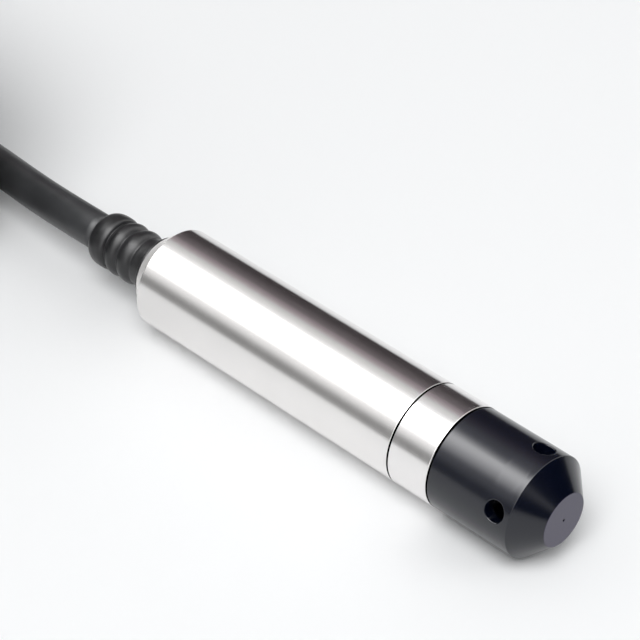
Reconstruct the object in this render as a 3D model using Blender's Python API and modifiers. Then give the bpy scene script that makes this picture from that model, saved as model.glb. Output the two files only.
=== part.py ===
"""Submersible pressure sensor: a slim steel probe with a black nose cap, lying on its side with its cable tied up.

Everything is in metres with +Z up. The probe's axis runs along X at one tube radius above the ground, its nose
towards +X. The origin is on the ground under the tube, and the cable leaves towards -X.
"""
import math

import bmesh
import bpy
from mathutils import Vector

MM = 0.001

# Clearances
SEAT = 0.3 * MM  # left between pieces that touch
GROOVE_SHARE = 0.75  # of a seal's thickness that its groove takes in
ROUND_STEPS = 48  # facets round the outer pieces
SMALL_STEPS = 24  # facets round the small pieces

# Steel housing tube, closed at the cable end
BODY_RADIUS = 11.0 * MM
TUBE_LENGTH = 69.2 * MM
TUBE_WALL = 1.6 * MM
END_TAPER = 3.8 * MM  # length of the cone at the cable end
END_FACE_RADIUS = 7.7 * MM
END_WALL = 6.0 * MM
EDGE_BREAK = 0.2 * MM  # small chamfer on turned edges

# Sensor head: the steel ring between tube and cap, with a spigot each way
HEAD_RING_LENGTH = 9.6 * MM
REAR_SPIGOT_LENGTH = 8.0 * MM
NOSE_SPIGOT_LENGTH = 8.0 * MM
HEAD_WALL = 0.9 * MM  # of the nose spigot, round the cell
HEAD_LIP = 1.2 * MM  # holds the cell from the front
HEAD_LIP_WIDTH = 1.3 * MM

# Black nose cap
NOSE_X = 62.5 * MM
CAP_STEP = 0.1 * MM  # the cap is slimmer than the head by this much all round
CAP_WALL = 2.0 * MM  # at the mouth
CAP_BARREL = 19.4 * MM
CAP_CONE = 4.9 * MM
NOSE_FACE_RADIUS = 5.75 * MM
CHAMBER_WALL = 2.7 * MM
NOSE_WALL = 5.6 * MM
PORT_RADIUS = 2.2 * MM
PORT_FROM_CONE = 3.5 * MM  # from the cone's edge back to the ports' centre
PORT_COUNT = 4
PORT_ANGLE = math.radians(70.5)  # of the first port, from +Y towards +Z
NOSE_PIP_RADIUS = 0.35 * MM
NOSE_PIP_DEPTH = 0.4 * MM
LOCK_RING_DIAMETER = 0.9 * MM
LOCK_RING_FROM_MOUTH = 2.0 * MM

# Pressure cell in the head
CELL_LENGTH = 7.0 * MM
CELL_RIM = 0.8 * MM
CELL_RIM_DEPTH = 0.9 * MM
DIAPHRAGM_THICKNESS = 0.25 * MM
DIAPHRAGM_RIPPLE = 0.12 * MM
DIAPHRAGM_RINGS = 6
CELL_O_RING_DIAMETER = 1.2 * MM
HEAD_O_RING_DIAMETER = 1.4 * MM
RETAINER_LENGTH = 3.0 * MM
RETAINER_WALL = 2.2 * MM
SPANNER_SLOT = 1.5 * MM
PIN_RADIUS = 0.25 * MM
PIN_CIRCLE = 3.0 * MM
PIN_LENGTH = 5.8 * MM
PIN_COUNT = 4
ROUND_BOARD_THICKNESS = 1.0 * MM
ROUND_BOARD_GAP = 1.0 * MM  # from the retaining ring to the round board

# Electronics in the tube
BOARD_WIDTH = 13.0 * MM
BOARD_THICKNESS = 1.2 * MM
BOARD_FROM_HEAD = 3.8 * MM  # from the rear spigot to the board's front edge
CORE_ROOM = 5.1 * MM  # from the cable's stripped end to the board's rear edge
CARRIER_LENGTH = 3.0 * MM
CARRIER_INSET = 1.4 * MM  # from the board's end to the carrier
LEAD_RADIUS = 0.35 * MM
LEAD_STRAIGHT = 3.0 * MM  # of a lead behind its pin
LEAD_FALL = 4.0 * MM  # from its halfway point to its end
LEAD_REST = 1.5 * MM  # lies flat on the board's edge
CHIP_SIZE = (3.6 * MM, 5.0 * MM, 1.6 * MM)
ARRESTER_RADIUS = 1.8 * MM
ARRESTER_LENGTH = 6.0 * MM
CAPACITOR_RADIUS = 2.0 * MM
CAPACITOR_HEIGHT = 4.0 * MM
CORE_STRAIGHT = 1.5 * MM  # of a core from the stripped end
CORE_REST = 1.0 * MM  # lies flat on the board

# Cable gland inside the closed end
GLAND_BORE_RADIUS = 6.2 * MM
SEAL_LENGTH = 5.0 * MM
THRUST_WASHER = 1.2 * MM
GLAND_SCREW_LENGTH = 5.0 * MM
CLAMP_LENGTH = 5.0 * MM
CLAMP_WALL = 1.0 * MM
CABLE_STUB = 3.0 * MM  # cable showing past the clamp

# Ribbed rubber boot on the cable
BOOT_LENGTH = 17.2 * MM
BOOT_FLANGE_RADIUS = 7.1 * MM
BOOT_FLANGE = 0.9 * MM
BOOT_RIB_RADIUS = 6.0 * MM
BOOT_VALLEY_RADIUS = 5.3 * MM
BOOT_NECK_RADIUS = 5.4 * MM  # between the flange and the first rib
BOOT_END_RADIUS = 4.9 * MM  # where the end rib meets the rear face
BOOT_RIBS = ((6.6 * MM, 3.9 * MM), (10.35 * MM, 3.4 * MM))  # centre from the flange, and width
BOOT_RIB_POWER = 0.8  # below 1 a rib is fuller than a half sine
BOOT_END_RIB_START = 12.4 * MM
BOOT_DOME_RISE = 0.31  # share of the end rib in which it reaches its crest
BOOT_DOME_CREST = 0.45  # share at which it starts to fall
BOOT_PLUG_LENGTH = 5.0 * MM  # reaches into the tube's end wall

# Cable
CABLE_RADIUS = 4.1 * MM
TURN_PITCH = 8.6 * MM  # between neighbouring turns of the hank
HANK_RUN = 102.65 * MM
HANK_FOLD_RADIUS = 24.8 * MM  # to the middle of the inner turns
HANK_LAYERS = 7
HANK_NEAR_X = -124.5 * MM  # where the straight runs end, on the probe's side
HANK_RUN_Y = 6.0 * MM  # the outer run that the cable comes in on
TIE_THICKNESS = 1.0 * MM
TIE_WIDTH = 4.8 * MM
TIE_HEAD = (6.0 * MM, 3.0 * MM)  # width and height of the tie's lock
CABLE_POINT_SPACING = 10.0 * MM
ROUTE = (  # the cable's middle from the boot to the hank, chosen by hand
    (-62.5 * MM, 0.0, 10.6 * MM),
    (-67.5 * MM, 0.02 * MM, 10.56 * MM),
    (-71.5 * MM, 0.06 * MM, 10.45 * MM),
    (-79.5 * MM, 0.42 * MM, 10.03 * MM),
    (-87.5 * MM, 1.33 * MM, 9.2 * MM),
    (-95.5 * MM, 2.64 * MM, 8.1 * MM),
    (-101.5 * MM, 3.72 * MM, 7.2 * MM),
    (-107.5 * MM, 4.65 * MM, 6.35 * MM),
    (-115.5 * MM, 5.6 * MM, 5.65 * MM),
    (-124.5 * MM, 6.0 * MM, 5.54 * MM),
)

# Cable end
SLEEVE_LENGTH = 12.0 * MM
SLEEVE_WALL = 0.6 * MM
TAIL_START = 34.0 * MM  # along the run from the far fold
TAIL_LENGTH = 24.0 * MM
CORE_RADIUS = 0.7 * MM
CORE_LENGTH = 34.0 * MM
CORE_CIRCLE = 1.9 * MM
CORE_SPREAD = 2.6 * MM  # sideways distance between the cores where they end
CORE_DROP = 0.55  # share of a core's length at which it is halfway down
CORE_LAND = 0.85  # share at which it lies on the ground
VENT_LENGTH = 0.45  # of a core's length
CORE_POINT_SPACING = 4.0 * MM
FERRULE_RADIUS = 0.6 * MM
FERRULE_LENGTH = 6.0 * MM
VENT_RADIUS = 1.0 * MM

# Places along X, worked out from the nose back
CAP_RADIUS = BODY_RADIUS - CAP_STEP
CAP_BORE_RADIUS = CAP_RADIUS - CAP_WALL
NOSE_SPIGOT_RADIUS = CAP_BORE_RADIUS - SEAT
CHAMBER_RADIUS = CAP_RADIUS - CHAMBER_WALL
CONE_X = NOSE_X - CAP_CONE
MOUTH_X = CONE_X - CAP_BARREL
RING_FRONT_X = MOUTH_X - SEAT
RING_REAR_X = RING_FRONT_X - HEAD_RING_LENGTH
TUBE_FRONT_X = RING_REAR_X - SEAT
TAPER_X = TUBE_FRONT_X - TUBE_LENGTH
TUBE_END_X = TAPER_X - END_TAPER
BOOT_FRONT_X = TUBE_END_X - SEAT
BOOT_REAR_X = BOOT_FRONT_X - BOOT_LENGTH
END_WALL_X = TUBE_END_X + END_WALL

TUBE_BORE_RADIUS = BODY_RADIUS - TUBE_WALL
FIT_RADIUS = TUBE_BORE_RADIUS - SEAT  # of what slides into the tube
CELL_BORE_RADIUS = NOSE_SPIGOT_RADIUS - HEAD_WALL
CELL_RADIUS = CELL_BORE_RADIUS - SEAT
HEAD_WINDOW_RADIUS = CELL_BORE_RADIUS - HEAD_LIP_WIDTH
RETAINER_HOLE_RADIUS = CELL_RADIUS - RETAINER_WALL
LIP_X = RING_FRONT_X + NOSE_SPIGOT_LENGTH - HEAD_LIP
CELL_FRONT_X = LIP_X - SEAT
CELL_REAR_X = CELL_FRONT_X - CELL_LENGTH
RETAINER_FRONT_X = CELL_REAR_X - SEAT
RETAINER_REAR_X = RETAINER_FRONT_X - RETAINER_LENGTH
ROUND_BOARD_FRONT_X = RETAINER_REAR_X - ROUND_BOARD_GAP
SPIGOT_REAR_X = RING_REAR_X - REAR_SPIGOT_LENGTH
BOARD_FRONT_X = SPIGOT_REAR_X - BOARD_FROM_HEAD
SEAL_FRONT_X = END_WALL_X + SEAT + SEAL_LENGTH
WASHER_FRONT_X = SEAL_FRONT_X + SEAT + THRUST_WASHER
SCREW_FRONT_X = WASHER_FRONT_X + SEAT + GLAND_SCREW_LENGTH
CLAMP_FRONT_X = SCREW_FRONT_X + SEAT + CLAMP_LENGTH
STUB_FRONT_X = CLAMP_FRONT_X + CABLE_STUB
BOARD_REAR_X = STUB_FRONT_X + CORE_ROOM
BOARD_TOP_Z = BODY_RADIUS + BOARD_THICKNESS / 2
BOARD_UNDER_Z = BODY_RADIUS - BOARD_THICKNESS / 2

HANK_HEIGHT = (HANK_LAYERS - 1) * TURN_PITCH + 2 * CABLE_RADIUS
OUTER_TURN_RADIUS = HANK_FOLD_RADIUS + TURN_PITCH
HANK_OUTER = OUTER_TURN_RADIUS + CABLE_RADIUS
HANK_INNER = HANK_FOLD_RADIUS - CABLE_RADIUS
TIE_GAP = SEAT + HANK_INNER - math.sqrt(HANK_INNER ** 2 - (TIE_WIDTH / 2) ** 2)  # a straight tie on a round end
HANK_BASE_Z = TIE_THICKNESS + TIE_GAP
HANK_Y = HANK_RUN_Y - OUTER_TURN_RADIUS
HANK_FAR_X = HANK_NEAR_X - HANK_RUN
LOWEST_TURN_Z = HANK_BASE_Z + CABLE_RADIUS


def clear_scene():
    for item in list(bpy.data.objects):
        bpy.data.objects.remove(item, do_unlink=True)


def new_collection(name):
    group = bpy.data.collections.new(name)
    bpy.context.scene.collection.children.link(group)
    return group


def finish(name, color, roughness, metallic=0.0):
    material = bpy.data.materials.new(name)
    material.use_nodes = True
    shader = material.node_tree.nodes["Principled BSDF"]
    shader.inputs["Base Color"].default_value = (*color, 1.0)
    shader.inputs["Roughness"].default_value = roughness
    shader.inputs["Metallic"].default_value = metallic
    return material


def place(item, group, material=None, parent=None):
    group.objects.link(item)
    if material:
        item.data.materials.append(material)
    if parent:
        item.parent = parent
    return item


def profile_mesh(name, points, closed):
    """An outline of (place along the axis, radius) points in the plane that a Screw modifier turns."""
    mesh = bpy.data.meshes.new(name)
    corners = [(radius, 0.0, along) for along, radius in points]
    edges = [(i, i + 1) for i in range(len(corners) - 1)]
    if closed:
        edges.append((len(corners) - 1, 0))
    mesh.from_pydata(corners, edges, [])
    return mesh


def turned(name, points, material, group, parent, steps=ROUND_STEPS):
    """A piece turned about the probe's axis, from its outline run down the outside from the nose end."""
    closed = points[0][1] > 0
    item = bpy.data.objects.new(name, profile_mesh(name, points, closed))
    place(item, group, material, parent)
    item.rotation_euler = (0.0, math.pi / 2, 0.0)
    screw = item.modifiers.new("Turn", "SCREW")
    screw.axis = "Z"
    screw.angle = 2 * math.pi
    screw.steps = steps
    screw.render_steps = steps
    screw.use_merge_vertices = True
    screw.merge_threshold = 0.00001
    screw.use_smooth_shade = False
    return item


def ring_outline(front, rear, outer, inner, edge=0.0):
    """A plain ring's outline, with its two outer edges broken."""
    if edge:
        return [(front, outer - edge), (front - edge, outer), (rear + edge, outer), (rear, outer - edge),
                (rear, inner), (front, inner)]
    return [(front, outer), (rear, outer), (rear, inner), (front, inner)]


def o_ring_outline(middle, ring_radius, thickness, sides=10):
    """A round section about its own middle, run so that the turned ring faces outwards."""
    step = 2 * math.pi / sides
    return [(middle + thickness / 2 * math.cos(step * i), ring_radius + thickness / 2 * math.sin(step * i))
            for i in range(sides)]


def block(name, size, middle, material, group, parent=None, bevel=0.0):
    mesh = bpy.data.meshes.new(name)
    shape = bmesh.new()
    bmesh.ops.create_cube(shape, size=1.0)
    bmesh.ops.scale(shape, vec=Vector(size), verts=shape.verts)
    shape.to_mesh(mesh)
    shape.free()
    item = bpy.data.objects.new(name, mesh)
    place(item, group, material, parent)
    item.location = middle
    if bevel:
        soften = item.modifiers.new("Soften", "BEVEL")
        soften.width = bevel
        soften.segments = 1
    return item


def rod(name, radius, length, middle, turn, material, group, parent=None, steps=SMALL_STEPS):
    """A cylinder about its own Z, turned by an Euler angle."""
    mesh = bpy.data.meshes.new(name)
    shape = bmesh.new()
    bmesh.ops.create_cone(shape, cap_ends=True, segments=steps, radius1=radius, radius2=radius, depth=length)
    shape.to_mesh(mesh)
    shape.free()
    item = bpy.data.objects.new(name, mesh)
    place(item, group, material, parent)
    item.location = middle
    item.rotation_euler = turn
    return item


def wire(name, points, radius, material, group, parent=None, resolution=1):
    """A round wire along points, with filled ends."""
    curve = bpy.data.curves.new(name, "CURVE")
    curve.dimensions = "3D"
    curve.bevel_depth = radius
    curve.bevel_resolution = resolution
    curve.use_fill_caps = True
    spline = curve.splines.new("POLY")
    spline.points.add(len(points) - 1)
    for spot, point in zip(spline.points, points):
        spot.co = (*point, 1.0)
    item = bpy.data.objects.new(name, curve)
    return place(item, group, material, parent)


def outline_plate(name, outlines, thickness, rounding, material, group):
    """A flat plate of 2D outlines, the first outside and the others holes, with its edges rounded."""
    curve = bpy.data.curves.new(name, "CURVE")
    curve.dimensions = "2D"
    curve.fill_mode = "BOTH"
    curve.extrude = thickness / 2 - rounding
    curve.bevel_depth = rounding
    curve.bevel_resolution = 1
    for outline in outlines:
        spline = curve.splines.new("POLY")
        spline.points.add(len(outline) - 1)
        for spot, point in zip(spline.points, outline):
            spot.co = (*point, 0.0, 1.0)
        spline.use_cyclic_u = True
    item = bpy.data.objects.new(name, curve)
    return place(item, group, material)


def cut(item, cutter):
    """Takes a cutter out of an item, and keeps the cutter as a wire guide."""
    cutter.hide_render = True
    cutter.display_type = "WIRE"
    opening = item.modifiers.new("Cut " + cutter.name, "BOOLEAN")
    opening.operation = "DIFFERENCE"
    opening.solver = "EXACT"
    opening.object = cutter


def smooth_path(knots, spacing):
    """Points on the smooth curve through the knots, each stretch a cubic that keeps its neighbours' slope."""
    path = []
    ends = [knots[0] * 2 - knots[1], *knots, knots[-1] * 2 - knots[-2]]
    for before, start, stop, after in zip(ends, ends[1:], ends[2:], ends[3:]):
        count = max(1, round((stop - start).length / spacing))
        for i in range(count):
            t = i / count
            path.append(0.5 * (2 * start + (stop - before) * t
                               + (2 * before - 5 * start + 4 * stop - after) * t ** 2
                               + (3 * start - before - 3 * stop + after) * t ** 3))
    path.append(knots[-1])
    return path


def stadium(near_x, far_x, middle_y, radius, steps=18):
    """A long outline with round ends, as (x, y) points."""
    near = [(near_x + radius * math.sin(math.pi * i / steps), middle_y - radius * math.cos(math.pi * i / steps))
            for i in range(steps + 1)]
    far = [(far_x - radius * math.sin(math.pi * i / steps), middle_y + radius * math.cos(math.pi * i / steps))
           for i in range(steps + 1)]
    return near + far


def rounded_corner(corner_x, corner_y, radius, start, steps=3):
    """The quarter circle about a corner's own centre, from an angle in quarter turns."""
    return [(corner_x + radius * math.cos(math.pi / 2 * (start + i / steps)),
             corner_y + radius * math.sin(math.pi / 2 * (start + i / steps))) for i in range(steps + 1)]


def housing(group, parent):
    steel = finish("polished_steel", (0.72, 0.71, 0.70), 0.16, 1.0)
    outline = [
        (TUBE_FRONT_X, BODY_RADIUS - EDGE_BREAK),
        (TUBE_FRONT_X - EDGE_BREAK, BODY_RADIUS),
        (TAPER_X, BODY_RADIUS),
        (TUBE_END_X, END_FACE_RADIUS),
        (TUBE_END_X, GLAND_BORE_RADIUS),
        (END_WALL_X, GLAND_BORE_RADIUS),
        (END_WALL_X, TUBE_BORE_RADIUS),
        (TUBE_FRONT_X, TUBE_BORE_RADIUS),
    ]
    turned("housing_tube", outline, steel, group, parent)


def sensor_head(group, parent):
    steel = finish("turned_steel", (0.74, 0.73, 0.72), 0.18, 1.0)
    rubber = finish("seal_rubber", (0.02, 0.02, 0.022), 0.6)
    groove_depth = HEAD_O_RING_DIAMETER * GROOVE_SHARE
    groove_half = HEAD_O_RING_DIAMETER / 2 + SEAT
    groove_x = RING_REAR_X - REAR_SPIGOT_LENGTH / 2
    groove_radius = FIT_RADIUS - groove_depth
    outline = [
        (RING_FRONT_X + NOSE_SPIGOT_LENGTH, NOSE_SPIGOT_RADIUS - EDGE_BREAK),
        (RING_FRONT_X + NOSE_SPIGOT_LENGTH - EDGE_BREAK, NOSE_SPIGOT_RADIUS),
        (RING_FRONT_X, NOSE_SPIGOT_RADIUS),
        (RING_FRONT_X, BODY_RADIUS - EDGE_BREAK),
        (RING_FRONT_X - EDGE_BREAK, BODY_RADIUS),
        (RING_REAR_X + EDGE_BREAK, BODY_RADIUS),
        (RING_REAR_X, BODY_RADIUS - EDGE_BREAK),
        (RING_REAR_X, FIT_RADIUS),
        (groove_x + groove_half, FIT_RADIUS),
        (groove_x + groove_half, groove_radius),
        (groove_x - groove_half, groove_radius),
        (groove_x - groove_half, FIT_RADIUS),
        (SPIGOT_REAR_X, FIT_RADIUS),
        (SPIGOT_REAR_X, CELL_BORE_RADIUS),
        (LIP_X, CELL_BORE_RADIUS),
        (LIP_X, HEAD_WINDOW_RADIUS),
        (RING_FRONT_X + NOSE_SPIGOT_LENGTH, HEAD_WINDOW_RADIUS),
    ]
    turned("sensor_head", outline, steel, group, parent)
    seal_room = TUBE_BORE_RADIUS - groove_radius - 2 * SEAT
    seal_radius = (TUBE_BORE_RADIUS + groove_radius) / 2
    turned("head_o_ring", o_ring_outline(groove_x, seal_radius, seal_room, 8), rubber, group, parent, 32)


def nose_cap(group, cutters, parent):
    plastic = finish("black_plastic", (0.016, 0.016, 0.022), 0.3)
    rubber = finish("lock_rubber", (0.02, 0.02, 0.022), 0.6)
    bore = CAP_BORE_RADIUS
    groove_x = MOUTH_X + LOCK_RING_FROM_MOUTH
    groove_half = LOCK_RING_DIAMETER / 2 + SEAT
    groove_radius = bore + LOCK_RING_DIAMETER + SEAT
    step_x = RING_FRONT_X + NOSE_SPIGOT_LENGTH + SEAT
    outline = [
        (NOSE_X - NOSE_PIP_DEPTH, 0.0),
        (NOSE_X, NOSE_PIP_RADIUS),
        (NOSE_X, NOSE_FACE_RADIUS),
        (CONE_X, CAP_RADIUS),
        (MOUTH_X + EDGE_BREAK, CAP_RADIUS),
        (MOUTH_X, CAP_RADIUS - EDGE_BREAK),
        (MOUTH_X, bore),
        (groove_x - groove_half, bore),
        (groove_x - groove_half, groove_radius),
        (groove_x + groove_half, groove_radius),
        (groove_x + groove_half, bore),
        (step_x, bore),
        (step_x, CHAMBER_RADIUS),
        (NOSE_X - NOSE_WALL, CHAMBER_RADIUS),
        (NOSE_X - NOSE_WALL, 0.0),
    ]
    cap = turned("nose_cap", outline, plastic, group, parent)
    port_x = CONE_X - PORT_FROM_CONE
    reach = CAP_RADIUS - CHAMBER_RADIUS + 3 * PORT_RADIUS
    for i in range(PORT_COUNT):
        angle = PORT_ANGLE + 2 * math.pi * i / PORT_COUNT
        away = (CAP_RADIUS + CHAMBER_RADIUS) / 2
        middle = (port_x, away * math.cos(angle), BODY_RADIUS + away * math.sin(angle))
        drill = rod(f"port_drill_{i + 1}", PORT_RADIUS, reach, middle, (angle - math.pi / 2, 0.0, 0.0), None,
                    cutters)
        cut(cap, drill)
    ring_radius = bore + LOCK_RING_DIAMETER / 2
    turned("cap_lock_ring", o_ring_outline(groove_x, ring_radius, LOCK_RING_DIAMETER, 8), rubber, group, parent,
           32)


def spanner_slots(item, name, middle_x, depth, cutters):
    """Cuts a slot right across a ring's rear face, for a pin spanner."""
    slot = block(name, (depth, 4 * BODY_RADIUS, SPANNER_SLOT), (middle_x, 0.0, BODY_RADIUS), None, cutters)
    cut(item, slot)


def pressure_cell(group, cutters, parent):
    steel = finish("cell_steel", (0.62, 0.61, 0.60), 0.25, 1.0)
    foil = finish("diaphragm_foil", (0.80, 0.79, 0.77), 0.12, 1.0)
    rubber = finish("cell_rubber", (0.02, 0.02, 0.022), 0.6)
    gold = finish("pin_gold", (0.83, 0.62, 0.26), 0.25, 1.0)
    laminate = finish("round_board_laminate", (0.03, 0.18, 0.08), 0.5)
    ring_steel = finish("ring_steel", (0.60, 0.59, 0.58), 0.3, 1.0)
    groove_x = (CELL_FRONT_X + CELL_REAR_X) / 2
    groove_half = CELL_O_RING_DIAMETER / 2 + SEAT
    groove_radius = CELL_RADIUS - CELL_O_RING_DIAMETER
    dish_x = CELL_FRONT_X - CELL_RIM_DEPTH
    turned("pressure_cell", [
        (dish_x, 0.0),
        (dish_x, CELL_RADIUS - CELL_RIM),
        (CELL_FRONT_X, CELL_RADIUS - CELL_RIM),
        (CELL_FRONT_X, CELL_RADIUS),
        (groove_x + groove_half, CELL_RADIUS),
        (groove_x + groove_half, groove_radius),
        (groove_x - groove_half, groove_radius),
        (groove_x - groove_half, CELL_RADIUS),
        (CELL_REAR_X, CELL_RADIUS),
        (CELL_REAR_X, 0.0),
    ], steel, group, parent, 32)
    foil_radius = CELL_RADIUS - CELL_RIM - SEAT
    front = [(dish_x + SEAT + DIAPHRAGM_THICKNESS + DIAPHRAGM_RIPPLE * (i % 2),
              foil_radius * (i + 1) / (DIAPHRAGM_RINGS + 1)) for i in range(DIAPHRAGM_RINGS)]
    turned("isolating_diaphragm", [
        (dish_x + SEAT + DIAPHRAGM_THICKNESS, 0.0),
        *front,
        (dish_x + SEAT + DIAPHRAGM_THICKNESS, foil_radius),
        (dish_x + SEAT, foil_radius),
        (dish_x + SEAT, 0.0),
    ], foil, group, parent, 32)
    seal_room = CELL_BORE_RADIUS - groove_radius - 2 * SEAT
    seal_radius = (CELL_BORE_RADIUS + groove_radius) / 2
    turned("cell_o_ring", o_ring_outline(groove_x, seal_radius, seal_room, 8), rubber, group, parent, 32)
    retainer = turned("cell_retaining_ring",
                      ring_outline(RETAINER_FRONT_X, RETAINER_REAR_X, CELL_RADIUS, RETAINER_HOLE_RADIUS),
                      ring_steel, group, parent, 32)
    slot_depth = RETAINER_LENGTH / 2
    spanner_slots(retainer, "retainer_slot", RETAINER_REAR_X, slot_depth, cutters)
    board = turned("compensation_board", [
        (ROUND_BOARD_FRONT_X, 0.0),
        (ROUND_BOARD_FRONT_X, CELL_RADIUS),
        (ROUND_BOARD_FRONT_X - ROUND_BOARD_THICKNESS, CELL_RADIUS),
        (ROUND_BOARD_FRONT_X - ROUND_BOARD_THICKNESS, 0.0),
    ], laminate, group, parent, 32)
    pin_x = RETAINER_FRONT_X - PIN_LENGTH / 2
    for i, (y, z) in enumerate(pin_places()):
        hole = rod(f"pin_hole_{i + 1}", PIN_RADIUS + SEAT, 3 * ROUND_BOARD_THICKNESS,
                   (ROUND_BOARD_FRONT_X - ROUND_BOARD_THICKNESS / 2, y, z), (0.0, math.pi / 2, 0.0), None, cutters,
                   steps=8)
        cut(board, hole)
        rod(f"header_pin_{i + 1}", PIN_RADIUS, PIN_LENGTH, (pin_x, y, z), (0.0, math.pi / 2, 0.0), gold, group,
            steps=8)


def pin_places():
    """The (y, z) places of the cell's pins, on a circle about the axis."""
    angles = [math.pi / 4 + 2 * math.pi * i / PIN_COUNT for i in range(PIN_COUNT)]
    return [(PIN_CIRCLE * math.cos(a), BODY_RADIUS + PIN_CIRCLE * math.sin(a)) for a in angles]


def along_board(widths):
    """Middles along X of parts set between the two carriers with even gaps, from the front."""
    front_x = BOARD_FRONT_X - CARRIER_INSET - CARRIER_LENGTH
    rear_x = BOARD_REAR_X + CARRIER_INSET + CARRIER_LENGTH
    between = (front_x - rear_x - sum(widths)) / (len(widths) + 1)
    return [front_x - between * (i + 1) - sum(widths[:i]) - width / 2 for i, width in enumerate(widths)]


def electronics(group, cutters, parent):
    laminate = finish("board_laminate", (0.02, 0.16, 0.07), 0.45)
    moulding = finish("carrier_plastic", (0.55, 0.55, 0.52), 0.5)
    epoxy = finish("chip_epoxy", (0.02, 0.02, 0.02), 0.4)
    ceramic = finish("arrester_ceramic", (0.82, 0.80, 0.76), 0.3)
    can = finish("capacitor_can", (0.55, 0.56, 0.58), 0.3, 1.0)
    middle_x = (BOARD_FRONT_X + BOARD_REAR_X) / 2
    block("circuit_board", (BOARD_FRONT_X - BOARD_REAR_X, BOARD_WIDTH, BOARD_THICKNESS),
          (middle_x, 0.0, BODY_RADIUS), laminate, group)
    for name, carrier_x in (
        ("board_carrier_front", BOARD_FRONT_X - CARRIER_INSET - CARRIER_LENGTH / 2),
        ("board_carrier_rear", BOARD_REAR_X + CARRIER_INSET + CARRIER_LENGTH / 2),
    ):
        carrier = turned(name, [
            (carrier_x + CARRIER_LENGTH / 2, 0.0),
            (carrier_x + CARRIER_LENGTH / 2, FIT_RADIUS),
            (carrier_x - CARRIER_LENGTH / 2, FIT_RADIUS),
            (carrier_x - CARRIER_LENGTH / 2, 0.0),
        ], moulding, group, parent, 32)
        slot = block(name + "_slot", (3 * CARRIER_LENGTH, BOARD_WIDTH + 2 * SEAT, BOARD_THICKNESS + 2 * SEAT),
                     (carrier_x, 0.0, BODY_RADIUS), None, cutters)
        cut(carrier, slot)
    chip_z = BOARD_TOP_Z + SEAT + CHIP_SIZE[2] / 2
    amplifier_x, output_x, arrester_x = along_board([CHIP_SIZE[0], CHIP_SIZE[0], 2 * ARRESTER_RADIUS])
    for name, chip_x in (("amplifier_chip", amplifier_x), ("output_chip", output_x)):
        block(name, CHIP_SIZE, (chip_x, 0.0, chip_z), epoxy, group, bevel=EDGE_BREAK)
    rod("surge_arrester", ARRESTER_RADIUS, ARRESTER_LENGTH,
        (arrester_x, 0.0, BOARD_TOP_Z + SEAT + ARRESTER_RADIUS), (math.pi / 2, 0.0, 0.0), ceramic, group)
    for i, capacitor_x in enumerate(along_board([2 * CAPACITOR_RADIUS, 2 * CAPACITOR_RADIUS])):
        rod(f"capacitor_{i + 1}", CAPACITOR_RADIUS, CAPACITOR_HEIGHT,
            (capacitor_x, 0.0, BOARD_UNDER_Z - SEAT - CAPACITOR_HEIGHT / 2), (0.0, 0.0, 0.0), can, group)
    cell_leads(group)
    cable_cores(group)


def cell_leads(group):
    """Thin wires from the cell's pins to the front edge of the board."""
    insulation = finish("lead_insulation", (0.75, 0.74, 0.70), 0.5)
    start_x = RETAINER_FRONT_X - PIN_LENGTH - SEAT
    stop_x = BOARD_FRONT_X - 2 * LEAD_RADIUS
    for i, (y, z) in enumerate(pin_places()):
        above = 1 if z > BODY_RADIUS else -1
        rest_z = BODY_RADIUS + above * (BOARD_THICKNESS / 2 + SEAT + LEAD_RADIUS)
        knots = [Vector((start_x, y, z)), Vector((start_x - LEAD_STRAIGHT, y, z)),
                 Vector((stop_x + LEAD_FALL, y, (z + rest_z) / 2)), Vector((stop_x + LEAD_REST, y, rest_z)),
                 Vector((stop_x, y, rest_z))]
        wire(f"cell_lead_{i + 1}", smooth_path(knots, LEAD_STRAIGHT), LEAD_RADIUS, insulation, group)


def cable_cores(group):
    """The cable's three cores and its vent tube, from the stripped end to the board."""
    start_x = STUB_FRONT_X + SEAT
    stop_x = BOARD_REAR_X + 2 * CORE_RADIUS
    places = (("inner_core_red", (0.55, 0.02, 0.02), 1, 1, CORE_RADIUS),
              ("inner_core_black", (0.02, 0.02, 0.02), -1, 1, CORE_RADIUS),
              ("inner_core_green", (0.03, 0.30, 0.08), 1, -1, CORE_RADIUS),
              ("inner_vent_tube", (0.80, 0.80, 0.78), -1, -1, VENT_RADIUS))
    for name, color, side, above, radius in places:
        jacket = finish(name + "_jacket", color, 0.45)
        rest_z = BODY_RADIUS + above * (BOARD_THICKNESS / 2 + SEAT + radius)
        y = side * CORE_CIRCLE
        start = Vector((start_x, y, BODY_RADIUS + above * CORE_CIRCLE))
        knots = [start, Vector((start_x + CORE_STRAIGHT, y, start.z)), Vector((stop_x - CORE_REST, y, rest_z)),
                 Vector((stop_x, y, rest_z))]
        wire(name, smooth_path(knots, 2 * CORE_REST), radius, jacket, group)


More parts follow.
